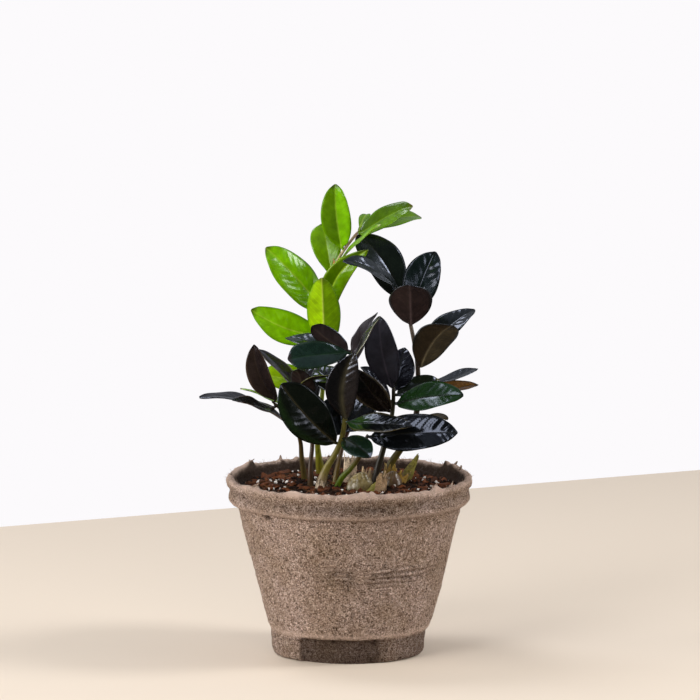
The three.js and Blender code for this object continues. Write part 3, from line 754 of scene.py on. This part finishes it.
def leaf_blade(name, node, line, look, material, slot, seed):
    """One leaflet. Its midline, half widths and V fold are the CAD blade's. Across it, height is fold - roll
    + quilting + waves, the upper face has a groove and the lower one a rib, and both meet at the margins."""
    draw = np.random.default_rng(seed)
    beside = cad_rings(node, line[0])[4].mean(0)  # a place on the blade, to find the stalk's nearest point
    middle = line[np.argmin(np.linalg.norm(line - beside, axis=1))]
    rings = cad_rings(node, middle)
    lifts, centres, half_widths = [], [rings[0][0]], []
    for ring in rings[1:-1]:
        gaps = np.linalg.norm(ring[:, None] - ring[None], axis=2)
        first, second = np.unravel_index(gaps.argmax(), gaps.shape)
        over = unit(ring[second] - ring[first])
        halfway = (ring[first] + ring[second]) / 2
        nearest = np.argsort(np.abs((ring - halfway) @ over))[:2]
        centres.append(ring[nearest].mean(0))
        lifts.append(halfway - centres[-1])
        half_widths.append(gaps.max() / 2)
    centres = np.array([*centres, rings[-1][0]])
    along = unit(centres[-1] - centres[0])
    up = np.mean(lifts, 0)
    fold = np.linalg.norm(up) / np.mean(half_widths)
    up = unit(up - along * (up @ along))
    side = np.cross(up, along)

    length = np.linalg.norm(centres[-1] - centres[0])
    start = centres[0]
    inside = line[np.argmin(np.linalg.norm(line - start, axis=1))]
    neck = np.linspace(0, 1, 4)[:-1]
    midline = np.concatenate([blend(inside, start, neck), smooth_line(centres, along_shares)])
    shares = np.concatenate([0 * neck, along_shares])
    ahead = unit(np.gradient(midline, axis=0))
    normal = unit(np.cross(ahead, side))
    if (normal @ up).mean() < 0:
        normal = -normal
    width = leaf_outline(shares, half_widths)
    body_share = smoothstep(0.01, 0.09, shares)[:, None]  # 0 on the round neck, 1 on the flat blade
    width = np.maximum(width, NECK * (shares < 0.5))
    tip_thin = np.clip((1 - shares) / 0.06, 0.25, 1)

    x = width[:, None] * section
    y = np.repeat((shares * length)[:, None], len(section), 1)
    far = np.abs(x)
    spot = np.stack([x, y, np.full_like(x, 37.0 * seed)], -1).reshape(-1, 3)
    sizes = ((0, 12), (50, 7), (70, 17))
    slow, pucker, sway = (noise(spot, size, seed + k).reshape(x.shape) for k, size in sizes)
    phase = (y - 0.75 * far - 0.035 * far**2) / look.get("spacing", VEIN_SPACING)
    phase += 0.45 * slow + 0.15 * pucker
    between = 0.5 - 0.5 * np.cos(2 * np.pi * phase)
    from_rib = np.abs(section)
    open_blade = smoothstep(0.02, 0.3, from_rib) * (1 - smoothstep(0.75, 1, from_rib)) * body_share
    quilt = look["quilt"] * (1.7 * between * (0.7 + 0.7 * slow) + 1.6 * pucker) * open_blade
    quilt += 0.35 * sway * body_share
    turns = draw.uniform(0, 2 * np.pi, 2)
    wave = np.sin(y * 2 * np.pi / 26 + np.where(section > 0, *turns)) * section**2 * look["wave"] * body_share
    lift = fold * (np.sqrt(far**2 + 0.6) - 0.77) * body_share
    roll = np.where(section > 0, 0, look.get("roll_right", 0))
    lift = lift - roll * section**2 * np.sin(np.pi * shares)[:, None]
    drop = -TIP_DROOP * smoothstep(0.75, 1, shares)[:, None] ** 2
    rib = bump_at(x, 0, 0.75) * np.sqrt(1 - shares)[:, None] * body_share
    half_thick = LEAF_THICK * body_share * tip_thin[:, None]
    flat = body * half_thick + np.where(face_sign > 0, -0.26, -0.42) * rib
    neck_round = np.sqrt(np.clip(1 - section**2, 0, 1)) * face_sign * NECK * (1 - body_share)
    z = lift + quilt + wave + drop + flat + neck_round
    grid = midline[:, None] + x[..., None] * side + z[..., None] * normal[:, None]

    s = np.repeat(section[None], len(shares), 0)
    t = np.repeat(shares[:, None], len(section), 1)
    under = np.repeat(np.where(face_sign > 0, 0.0, 1.0)[None], len(shares), 0)

    def paint(left, right, rib_colour):
        colour = blend(rgb(left), rgb(right), smoothstep(-0.1, 0.1, -s))
        if "base" in look:
            colour = blend(colour, rgb(look["base"]), 0.8 * (1 - smoothstep(0.05, 0.45, t)))
        if "flank" in look:
            colour = blend(colour, rgb(look["flank"]), 0.9 * smoothstep(0.45, 0.95, s))
        colour = blend(colour, rgb(look["edge"]), 0.8 * smoothstep(0.80, 0.98, np.abs(s)))
        colour = blend(colour, rgb(look["tip"]), smoothstep(0.9, 1.0, t))
        return blend(colour, rgb(rib_colour), bump_at(x, 0, look["rib_width"]) * (1 - 0.6 * t))

    top = paint(look.get("left", look["upper"]), look.get("right", look["upper"]), look["rib"])
    bottom = paint(look.get("under_left", look["under"]), look["under"], look["under_rib"])
    tint = blend(top, bottom, under)
    tint = tint * (1 + 0.12 * noise(spot, 9, seed + 90).reshape(x.shape))[..., None]
    strength = look["vein"] * open_blade * np.ones_like(x)
    skin(
        name, grid, material, slot, node,
        tint=np.clip(tint, 0, 1), vein_phase=phase, vein_strength=strength, under=under,
    )


for stalk, looks in LEAVES.items():
    for index, look in enumerate(looks):
        young = stalk == "lime"
        node = f"{stalk}_leaflet_{index + 1}"
        leaf_blade(
            f"{stalk}_blade_{index + 1}",
            node,
            stalk_lines[stalk],
            (LIME if young else DARK) | look,
            young_leaf if young else mature_leaf,
            "lime_leaf" if young else "dark_leaf",
            seed=100 * list(LEAVES).index(stalk) + index,
        )


# ---------------------------------------------------------------- potting mix
# Damp peat with fine bark, lighter fibres and white perlite, filled to just under the pot's lip. It lies as
# a loose lumpy surface with the coarser bits on top.

MIX_RADIUS = 69.3
MIX_EDGE = 103.2
MIX_CROWN = 104.8
MIX_FLOOR = 94  # the piece's flat underside, well below what shows
MIX_RINGS = 88
INNER_RING = 40  # the ring whose outline the underside passes on its way to the middle


def mix_height(x, y):
    """Height of the mix: a low crown that falls to the edge, with heaps 20 and 6 mm across on it."""
    share = np.hypot(x, y) / MIX_RADIUS
    flat = np.stack([x.ravel(), y.ravel(), np.zeros(x.size)], 1)
    heaps = 1.1 * noise(flat, 20, 301) + 0.7 * noise(flat, 6, 302, octaves=3)
    return MIX_CROWN - (MIX_CROWN - MIX_EDGE) * share**2 + heaps.reshape(x.shape) * (1 - 0.6 * share**8)


# Damp peat: crumbly, dark and matt, with the dampness giving it hardly any gleam.
damp_peat, tree = new_material("damp peat mix")
place = add_node(tree, "TexCoord").outputs["Object"]
crumbs = add_node(
    tree, "TexNoise", {"Vector": place, "Scale": 1 / (1.5 * MM), "Detail": 4, "Roughness": 0.65}
)
bits = add_node(tree, "TexVoronoi", {"Vector": place, "Scale": 1 / (1.8 * MM)})
tone = add_node(tree, "ValToRGB", {"Fac": crumbs.outputs[0]})
stops = tone.color_ramp.elements
stops[0].position, stops[0].color = 0.32, from_hex("#0d0805")
stops[1].position, stops[1].color = 0.74, from_hex("#4a2c1a")
middle = stops.new(0.52)
middle.color = from_hex("#1a0f08")
raised = add_node(tree, "Bump", {"Height": bits.outputs["Distance"], "Strength": 0.9, "Distance": 0.9 * MM})
soil = add_node(
    tree, "BsdfPrincipled", {"Base Color": tone.outputs[0], "Roughness": 0.85, "Normal": raised.outputs[0]}
)
soil.inputs["Specular IOR Level"].default_value = 0.15
finish_material(tree, soil)

rings = np.linspace(0.6, MIX_RADIUS, MIX_RINGS)
turn = np.linspace(0, 2 * np.pi, 260, endpoint=False)
x, y = rings[:, None] * np.cos(turn), rings[:, None] * np.sin(turn)
top = np.stack([x, y, mix_height(x, y)], -1)
below = [-1, INNER_RING]
underside = np.stack([x[below], y[below], np.full_like(x[below], MIX_FLOOR)], -1)
skin("potting_mix_bed", np.concatenate([top, underside]), damp_peat, "potting_mix", "potting_mix")


def lump(around, rows, power):
    """A closed unit lump, its quads and its end triangles: a ball whose sines and cosines are raised to a
    power under 1, which squares it off."""
    tall = np.linspace(-np.pi / 2, np.pi / 2, rows + 2)[1:-1, None]
    turn = np.linspace(0, 2 * np.pi, around, endpoint=False)[None]
    waves = (np.cos(tall), np.sin(tall), np.cos(turn), np.sin(turn))
    cos_tall, sin_tall, cos_turn, sin_turn = (np.sign(wave) * np.abs(wave) ** power for wave in waves)
    grid = np.stack([cos_tall * cos_turn, cos_tall * sin_turn, sin_tall * np.ones_like(turn)], -1)
    points = np.concatenate([grid.reshape(-1, 3), [[0, 0, -1], [0, 0, 1]]])
    column = np.arange(around)
    beside = (column + 1) % around
    last_row = (rows - 1) * around
    low = np.stack([np.full(around, rows * around), beside, column], 1)
    high = np.stack([np.full(around, rows * around + 1), last_row + column, last_row + beside], 1)
    return points, grid_faces(rows, around, closed=True), np.concatenate([low, high])


def repeated(faces, count, points_each):
    """The faces of many copies of a mesh, where each copy's points follow the last one's."""
    first_points = np.arange(count)[:, None, None] * points_each
    return (faces[None] + first_points).reshape(-1, faces.shape[1]).tolist()


def turned_at_random(draw, count, lean):
    """Rotation matrices: a turn by any angle about the vertical, then a lean by up to the given angle about a
    level axis k, which is 1 + sin(a) K + (1 - cos(a)) K^2 with K the matrix of the cross product with k."""
    spin, way = draw.uniform(0, 2 * np.pi, (2, count))
    tip = draw.uniform(0, lean, count)[:, None, None]
    cross = np.zeros((count, 3, 3))
    cross[:, 0, 2], cross[:, 1, 2] = np.sin(way), -np.cos(way)
    cross[:, 2, 0], cross[:, 2, 1] = -np.sin(way), np.cos(way)
    leaned = np.eye(3) + np.sin(tip) * cross + (1 - np.cos(tip)) * (cross @ cross)
    turned = np.zeros((count, 3, 3))
    turned[:, 0, 0] = turned[:, 1, 1] = np.cos(spin)
    turned[:, 1, 0], turned[:, 0, 1], turned[:, 2, 2] = np.sin(spin), -np.sin(spin), 1
    return leaned @ turned


def scattered(
    name, count, sizes, proportions, shape, lean, lift, material, seed, shade=(0.6, 1.3), heaps=None
):
    """Many copies of one lump strewn over the mix as one piece, each with its own size, turn and dents, and
    with its middle lifted off the mix by a share of its half height. A third of them lie in the heaps, if
    there are any, which are given by place and spread."""
    draw = np.random.default_rng(seed)
    points, quads, ends = lump(*shape)
    reach = (MIX_RADIUS - 3.5) * np.sqrt(draw.uniform(0, 1, count))
    way = draw.uniform(0, 2 * np.pi, count)
    x, y = reach * np.cos(way), reach * np.sin(way)
    if heaps is not None:
        chosen = heaps[draw.integers(0, len(heaps), count // 3)]
        x[: len(chosen)] = chosen[:, 0] + draw.normal(0, chosen[:, 2])
        y[: len(chosen)] = chosen[:, 1] + draw.normal(0, chosen[:, 2])
    size = draw.uniform(*sizes, count)
    scale = size[:, None] * np.array(proportions) * draw.uniform(0.75, 1.25, (count, 3)) / 2
    dents = 1 + draw.uniform(-0.22, 0.22, (count, len(points), 1))
    placed = points[None] * dents * scale[:, None]
    placed = np.einsum("nij,nvj->nvi", turned_at_random(draw, count, lean), placed)
    centre = np.stack([x, y, mix_height(x, y) + lift * scale[:, 2]], 1)
    placed = (placed + centre[:, None]).reshape(-1, 3)
    faces = repeated(quads, count, len(points)) + repeated(ends, count, len(points))
    piece = mesh_object(name, placed * MM, faces, material, smooth=False)
    set_attribute(piece.data, "shade", np.repeat(draw.uniform(*shade, count), len(points)))
    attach(piece, "root")


def strewn_finish(name, dark, pale, grain, dull):
    """Loose bits in the mix: rough and matt, each lighter or darker than the next, with a grain of its own
    size in millimetres."""
    material, tree = new_material(name)
    place = add_node(tree, "TexCoord").outputs["Object"]
    mottle = add_node(tree, "TexNoise", {"Vector": place, "Scale": 1 / (grain * MM), "Detail": 3}).outputs[0]
    colour = add_node(tree, "Mix", {0: mottle, 6: from_hex(dark), 7: from_hex(pale)}, data_type="RGBA")
    shade = add_node(tree, "Attribute", attribute_name="shade").outputs["Fac"]
    shaded = add_node(tree, "VectorMath", {0: colour.outputs[2], "Scale": shade}, operation="SCALE")
    raised = add_node(tree, "Bump", {"Height": mottle, "Strength": 0.6, "Distance": 0.3 * MM})
    bits = add_node(
        tree,
        "BsdfPrincipled",
        {"Base Color": shaded.outputs[0], "Roughness": dull, "Normal": raised.outputs[0]},
    )
    bits.inputs["Specular IOR Level"].default_value = 0.2
    finish_material(tree, bits)
    return material


peat_crumb = strewn_finish("peat crumb", "#0a0502", "#2e180a", 1.2, 0.9)
pine_bark = strewn_finish("composted pine bark", "#1c0c05", "#74401f", 1.6, 0.75)
perlite = strewn_finish("expanded perlite", "#d2c8bc", "#faf5ee", 0.8, 0.9)
PERLITE_HEAPS = np.array([[-46, -14, 6.0], [-40, 6, 7.0], [38, 14, 9.0], [0, -50, 9.0], [44, -16, 7.0]])

scattered("peat_crumbs", 1500, (1.1, 2.8), (1, 0.9, 0.8), (6, 3, 0.8), 3, 0.3, peat_crumb, 311)
scattered("bark_chips", 430, (2.4, 6.2), (1, 0.6, 0.32), (8, 4, 0.45), 0.9, 0.7, pine_bark, 312)
scattered(
    "perlite_grains", 150, (0.7, 2.7), (1, 0.85, 0.75), (7, 4, 0.7), 3, 0.6, perlite, 313,
    shade=(0.8, 1.05), heaps=PERLITE_HEAPS,
)


# ---------------------------------------------------------------- tubers and dry skins
# The stalks grow from potato-like tubers that just break the surface: glossy cream and olive where they are
# fresh, and brown where the papery skins of earlier growth still cling, torn and curled.

# Fresh tuber skin: smooth and waxy, with darker streaks and scars in it.
fresh_tuber, tree = new_material("fresh tuber skin")
tint = add_node(tree, "Attribute", attribute_name="tint")
place = add_node(tree, "TexCoord").outputs["Object"]
streaks = add_node(
    tree, "TexNoise", {"Vector": place, "Scale": 1 / (2.6 * MM), "Detail": 4, "Distortion": 0.8}
)
streak_mask = add_node(
    tree,
    "MapRange",
    {"Value": streaks.outputs[0], "From Min": 0.44, "From Max": 0.62, "To Min": 0, "To Max": 0.75},
)
streaked = add_node(
    tree,
    "Mix",
    {0: streak_mask.outputs[0], 6: tint.outputs["Color"], 7: from_hex("#4a3c1c")},
    data_type="RGBA",
)
raised = add_node(tree, "Bump", {"Height": streaks.outputs[0], "Strength": 0.4, "Distance": 0.4 * MM})
peel = add_node(
    tree, "BsdfPrincipled", {"Base Color": streaked.outputs[2], "Roughness": 0.3, "Normal": raised.outputs[0]}
)
finish_material(tree, peel)


def tuber(name, node, lean, creases, low_colour, high_colour, seed):
    """A tuber in its CAD box: an ellipsoid leaning to one side, creased lengthwise, with rings where old
    stalks stood. Each crease is a narrow groove at its own angle round it, and of its own depth."""
    low, high = (np.array(corner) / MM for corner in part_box(node))
    centre, half_size = (low + high) / 2, (high - low) / 2
    tall = np.linspace(-np.pi / 2, np.pi / 2, 62)[1:-1, None]
    turn = np.linspace(0, 2 * np.pi, 72, endpoint=False)[None]
    level = np.sin(tall) * np.ones_like(turn)
    ball = np.stack([np.cos(tall) * np.cos(turn), np.cos(tall) * np.sin(turn), level], -1)
    lumpy = 1 + 0.05 * noise(ball.reshape(-1, 3) * 10, 7, seed, octaves=2).reshape(ball.shape[:2])
    for degrees, depth in creases:
        groove = bump_at(angle_from(turn + 0.35 * tall, degrees), 0, 14)
        lumpy = lumpy - depth * groove * np.cos(tall) ** 0.5
    lumpy = lumpy - 0.03 * bump_at(level, 0.62, 0.06) - 0.02 * bump_at(level, 0.8, 0.04)
    grid = ball * lumpy[..., None] * half_size * 0.96
    grid[..., 0] += np.tan(np.radians(lean)) * 0.25 * grid[..., 2]
    colour = blend(rgb(low_colour), rgb(high_colour), smoothstep(-0.2, 0.9, level))
    skin(name, grid + centre, fresh_tuber, "tuber_skin", node, tint=colour)


front_creases = [(-60, 0.10), (-125, 0.07), (20, 0.08)]
right_creases = [(-80, 0.10), (-140, 0.08)]
tuber("front_tuber_flesh", "front_tuber", 12, front_creases, "#463c1c", "#82744c", 401)
tuber("right_tuber_flesh", "right_tuber", 6, right_creases, "#33241a", "#5c4632", 402)

# Dead sheath: dry, papery and thin, tan to olive brown, mottled, with darker torn edges.
dry_sheath, tree = new_material("dry papery sheath")
tint = add_node(tree, "Attribute", attribute_name="tint")
place = add_node(tree, "TexCoord").outputs["Object"]
veins = add_node(tree, "TexNoise", {"Vector": place, "Scale": 1 / (1.2 * MM), "Detail": 3, "Distortion": 1.2})
vein_tone = add_node(
    tree,
    "MapRange",
    {"Value": veins.outputs[0], "From Min": 0.3, "From Max": 0.7, "To Min": 0.45, "To Max": 1.45},
)
toned = add_node(
    tree, "VectorMath", {0: tint.outputs["Color"], "Scale": vein_tone.outputs[0]}, operation="SCALE"
)
raised = add_node(tree, "Bump", {"Height": veins.outputs[0], "Strength": 0.6, "Distance": 0.3 * MM})
paper = add_node(
    tree, "BsdfPrincipled", {"Base Color": toned.outputs[0], "Roughness": 0.6, "Normal": raised.outputs[0]}
)
finish_material(tree, paper)


def shell(name, sheet, thickness, material, slot, node=(), **fields):
    """A closed thin piece from a grid of points: the grid moved out and in along its own normals by half the
    thickness, and joined round the border."""
    rows, columns = sheet.shape[:2]
    normal = unit(np.cross(np.gradient(sheet, axis=0), np.gradient(sheet, axis=1)) + 1e-9)
    offset = normal * np.broadcast_to(thickness, (rows, columns))[..., None] / 2
    points = np.concatenate([(sheet + offset).reshape(-1, 3), (sheet - offset).reshape(-1, 3)])
    quads = grid_faces(rows, columns, closed=False)
    number = np.arange(rows * columns).reshape(rows, columns)
    border = np.concatenate([number[0, :-1], number[:-1, -1], number[-1, :0:-1], number[:0:-1, 0]])
    ahead = np.roll(border, -1)
    back = rows * columns
    edge = np.stack([border, ahead, ahead + back, border + back], 1)
    # A grid's quads turn from rows to columns, against the normal's own turn, so the outer side is reversed.
    faces = np.concatenate([quads, quads[:, ::-1] + back, edge[:, ::-1]])
    triangles = np.concatenate([faces[:, :3], faces[:, [0, 2, 3]]])
    a, b, c = (points[triangles[:, k]] - points.mean(0) for k in range(3))
    if np.einsum("ij,ij->", a, np.cross(b, c)) < 0:
        faces = faces[:, ::-1]
    piece = mesh_object(name, points * MM, faces.tolist(), material)
    for field, values in fields.items():
        set_attribute(piece.data, field, np.concatenate([values, values]))
    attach(piece, "root")
    if node:
        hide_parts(node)


def sheath(name, foot, top, radii, facing, sweep, torn, curl, colours, seed, node=(), point=0.0):
    """Part of a papery cone wrapped round the line from foot to top, over sweep degrees centred on facing.
    Its radius runs from the first to the second of radii and opens further by curl at the top, its upper edge
    is torn down by up to torn of its height, its colour runs from the lower to the upper one, and with point
    above 0 it narrows towards the top like a blade."""
    rows, columns = 34, 44
    foot, top = np.array(foot, float), np.array(top, float)
    up = np.linspace(0, 1, rows)[:, None]
    over = np.linspace(-0.5, 0.5, columns)[None]
    along_edge = np.stack([over[0] * sweep / 9, np.full(columns, 3.1 * seed), np.zeros(columns)], 1)
    edge = noise(along_edge, 1, seed, octaves=3)
    reach = up * (1 - torn * (0.5 + 0.5 * edge)[None])
    angle = np.radians(facing + sweep * over * (1 - point * reach**1.5))
    flat = np.stack([angle.ravel() * 6, reach.ravel() * 8, np.full(angle.size, 0.7 * seed)], 1)
    crumple = noise(flat, 1.6, seed + 1, octaves=2).reshape(angle.shape)
    radius = radii[0] + (radii[1] - radii[0]) * reach + curl * reach**3 + 0.45 * crumple * (0.3 + reach)
    axis = unit(top - foot)
    side = unit(np.cross([0, 1, 0], axis))
    ahead = np.cross(axis, side)
    middle = foot + (top - foot) * reach[..., None]
    sheet = middle + radius[..., None] * (np.cos(angle)[..., None] * side + np.sin(angle)[..., None] * ahead)
    colour = blend(rgb(colours[0]), rgb(colours[1]), reach)
    browned = 0.75 * smoothstep(0.86, 1.0, up * np.ones_like(over)) * (edge[None] > -0.2)
    shell(name, sheet, 0.3, dry_sheath, "dry_sheath", node, tint=blend(colour, rgb("#2a1a0e"), browned))


def up_stalk(stalk, share):
    """The middle of a stalk a share of the way up it."""
    line = stalk_lines[stalk]
    return line[round(share * (len(line) - 1))]


# Each has its foot, top, radii, facing and sweep in degrees, torn share, curl, two colours and a seed.
sheath(
    "right_dry_sheath", (34, 14, 105), (43, 15.5, 122), (3.9, 2.6), -90, 140, 0.10, 0,
    ("#5a5018", "#8c8430"), 503, "dry_sheath", point=0.85,
)
sheath(
    "front_stalk_sheath", up_stalk("front", 0.02), up_stalk("front", 0.2), (4.3, 3.0), -120, 250, 0.35, 0.3,
    ("#8a7a68", "#a8967c"), 504,
)
sheath(
    "front_tuber_husk", (15, -22, 100), (18, -21, 118), (7.2, 5.2), -20, 150, 0.4, 1.8,
    ("#6a5036", "#a88a64"), 505,
)
sheath(
    "front_tuber_scale", (9, -26, 100), (20, -23, 112.5), (3.6, 2.2), -90, 150, 0.15, 0,
    ("#6a6424", "#8c8434"), 506, point=0.7,
)
sheath(
    "centre_sheath", up_stalk("centre", 0), up_stalk("centre", 0.22), (6.2, 5.0), -95, 230, 0.4, 1.2,
    ("#7a6a54", "#5c4c2c"), 507,
)
sheath(
    "right_sheath", up_stalk("right", 0), up_stalk("right", 0.10), (7.6, 8.6), -100, 200, 0.5, 2.4,
    ("#7a5c28", "#8c6c2c"), 508,
)
sheath(
    "right_inner_sheath", up_stalk("right", 0), up_stalk("right", 0.13), (6.2, 6.4), -60, 190, 0.45, 1.4,
    ("#5c4420", "#a0844c"), 509,
)
# The middle sheath's colours are lifted to make up for the shade it stands in: painted light.
sheath(
    "middle_sheath", (0, 4, 101), (0.5, 3, 126), (4.4, 3.4), -80, 170, 0.35, 0.8,
    ("#a08a74", "#e0c8a8"), 510,
)
sheath(
    "low_sheath", (9, 2, 101), (12, 2, 118), (4.5, 4.0), -70, 160, 0.5, 1.0,
    ("#8c7454", "#ccb088"), 511,
)
sheath(
    "right_torn_sheath", (27, 5, 103), (31, 5, 118), (6.6, 8.0), -90, 190, 0.55, 2.0,
    ("#7a5c28", "#a88a3c"), 514,
)
sheath(
    "lime_bract", up_stalk("lime", 0.83), up_stalk("lime", 0.87), (1.3, 2.0), -110, 200, 0.4, 0.8,
    ("#b06a34", "#c89058"), 515,
)
sheath(
    "left_sheath", up_stalk("left", 0), up_stalk("left", 0.12), (3.4, 3.2), -60, 200, 0.5, 0.5,
    ("#3a2c1c", "#5c4a30"), 512,
)
sheath(
    "back_sheath", up_stalk("back", 0), up_stalk("back", 0.10), (3.4, 3.2), -120, 200, 0.5, 0.5,
    ("#3a2c1c", "#6a5836"), 513,
)


# ---------------------------------------------------------------- torn fibre on the lip
# Where the pot was pulled from its mould and handled, flakes of felt stand up along the lip, with loose
# single fibres between them. Coir and dead roots lie on the mix in the same way.

LIP_MIDDLE = 73.6  # radius of the middle of the lip


def torn_flake(number, degrees, wide, tall, lean, curl):
    """A flake of felt at an angle round the lip, with its half width and its height. A share u of the way up,
    its radius is that of the lip plus (curl u^2 - lean u) times its height, and its top edge is torn."""
    rows, columns = 14, 18
    up = np.linspace(0, 1, rows)[:, None]
    over = np.linspace(-1, 1, columns)[None]
    along_edge = np.stack([over[0] * wide / 2.2, np.full(columns, 5.0 * number), np.zeros(columns)], 1)
    edge = noise(along_edge, 1, 600 + number, octaves=3)
    reach = up * (1 - 0.75 * over**2) * (1 + 0.45 * edge[None])
    flat = np.stack([over * wide + 0 * up, reach * tall, np.full((rows, columns), 3.0 * number)], -1)
    crumple = 0.5 * noise(flat.reshape(-1, 3), 1.8, 620 + number, octaves=2).reshape(rows, columns)
    angle = np.radians(degrees) + over * wide / LIP_RADIUS * (1 - 0.3 * reach)
    radius = LIP_MIDDLE - lean * tall * reach + curl * reach**2 * tall + crumple
    level = LIP_HEIGHT - 1.6 + (tall + 1.2) * reach
    sheet = np.stack([radius * np.cos(angle), radius * np.sin(angle), level], -1)
    shell(f"torn_flake_{number}", sheet, 0.9 * (1 - 0.5 * up), moulded_fibre, "pot_fibre")


# Direction in degrees, width, height, lean and curl of each flake.
FLAKES = (
    (149, 3.6, 4.2, 0.3, -0.5), (146, 2.2, 3.2, -0.2, 0.6), (126, 1.6, 2.6, 0.1, 0.2),
    (-143.5, 3.4, 2.0, 1.6, -0.4), (-84, 2.6, 1.4, 0.2, 0.5), (-43.7, 1.7, 4.0, 0.2, 0.3),
    (-46, 1.4, 2.2, 0.4, 0.1), (-31, 1.2, 3.0, 0.3, 0.4), (27, 2.6, 2.4, 0.2, 0.7),
    (33.5, 1.8, 2.8, 0.3, -0.3), (20, 1.6, 1.6, 0.1, 0.4), (100, 1.8, 1.2, 0.2, 0.3),
    (-118, 2.4, 0.9, 0.5, 0.2), (66, 2.0, 1.4, 0.2, 0.5), (176, 2.0, 1.3, 0.4, 0.2),
)
for number, flake in enumerate(FLAKES, 1):
    torn_flake(number, *flake)


def strands(name, roots, ways, lengths, bends, radius, material):
    """Many loose fibres as one piece. Each is a three-sided rod along root + length way u + bend u^2, for u
    from 0 to 1, and its radius falls to 0.4 of itself at the end."""
    count, steps, sides = len(roots), 5, 3
    u = np.linspace(0, 1, steps)[None, :, None]
    line = roots[:, None] + ways[:, None] * lengths[:, None, None] * u + bends[:, None] * u**2
    ahead = unit(np.gradient(line, axis=1))
    side = unit(np.cross(ahead, [0.31, 0.22, 0.92]))
    up = np.cross(side, ahead)
    angle = 2 * np.pi * np.arange(sides)[None, None, :, None] / sides
    ring = np.cos(angle) * side[:, :, None] + np.sin(angle) * up[:, :, None]
    points = (line[:, :, None] + radius * (1 - 0.6 * u[..., None]) * ring).reshape(-1, 3)
    each = sides * steps  # points in one fibre
    walls = grid_faces(steps, sides, closed=True)[:, ::-1]
    caps = np.array([[0, 1, 2], [each - 1, each - 2, each - 3]])
    faces = repeated(walls, count, each) + repeated(caps, count, each)
    piece = mesh_object(name, points * MM, faces, material, smooth=False)
    shade = np.random.default_rng(count).uniform(0.5, 1.4, count)
    set_attribute(piece.data, "shade", np.repeat(shade, each))
    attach(piece, "root")


draw = np.random.default_rng(640)
count = 420
way = draw.uniform(0, 2 * np.pi, count)
out = np.stack([np.cos(way), np.sin(way), 0 * way], 1)
over = draw.uniform(-0.5, 1.2, count)[:, None]  # 0 stands straight up on the lip, 1 points straight out
past_lip = np.clip(over, 0, 1)
straight_up = np.array([0, 0, 1])
lip_roots = out * (LIP_MIDDLE + 1.9 * past_lip) + straight_up * (LIP_HEIGHT - 0.9 - 1.5 * past_lip)
lip_ways = unit(out * over + straight_up * (1.1 - np.abs(over)) + draw.normal(0, 0.45, (count, 3)))
lengths = draw.uniform(0.8, 2.6, count)
bends = draw.normal(0, 0.7, (count, 3))
strands("lip_fibres", lip_roots, lip_ways, lengths, bends, 0.11, moulded_fibre)

count = 200
reach = 66 * np.sqrt(draw.uniform(0, 1, count))
way = draw.uniform(0, 2 * np.pi, count)
x, y = reach * np.cos(way), reach * np.sin(way)
mix_roots = np.stack([x, y, mix_height(x, y) + 0.6], 1)
turn = draw.uniform(0, 2 * np.pi, count)
mix_ways = unit(np.stack([np.cos(turn), np.sin(turn), draw.uniform(0, 0.25, count)], 1))
coir = strewn_finish("coir and root fibre", "#3a2412", "#8c6a44", 2.0, 0.8)
lengths = draw.uniform(3, 9, count)
keep = np.hypot(*(mix_roots + mix_ways * lengths[:, None])[:, :2].T) < 67  # those that end inside the pot
bends = draw.normal(0, 1.4, (count, 3)) * [1, 1, 0.3]
strands("mix_fibres", mix_roots[keep], mix_ways[keep], lengths[keep], bends[keep], 0.16, coir)
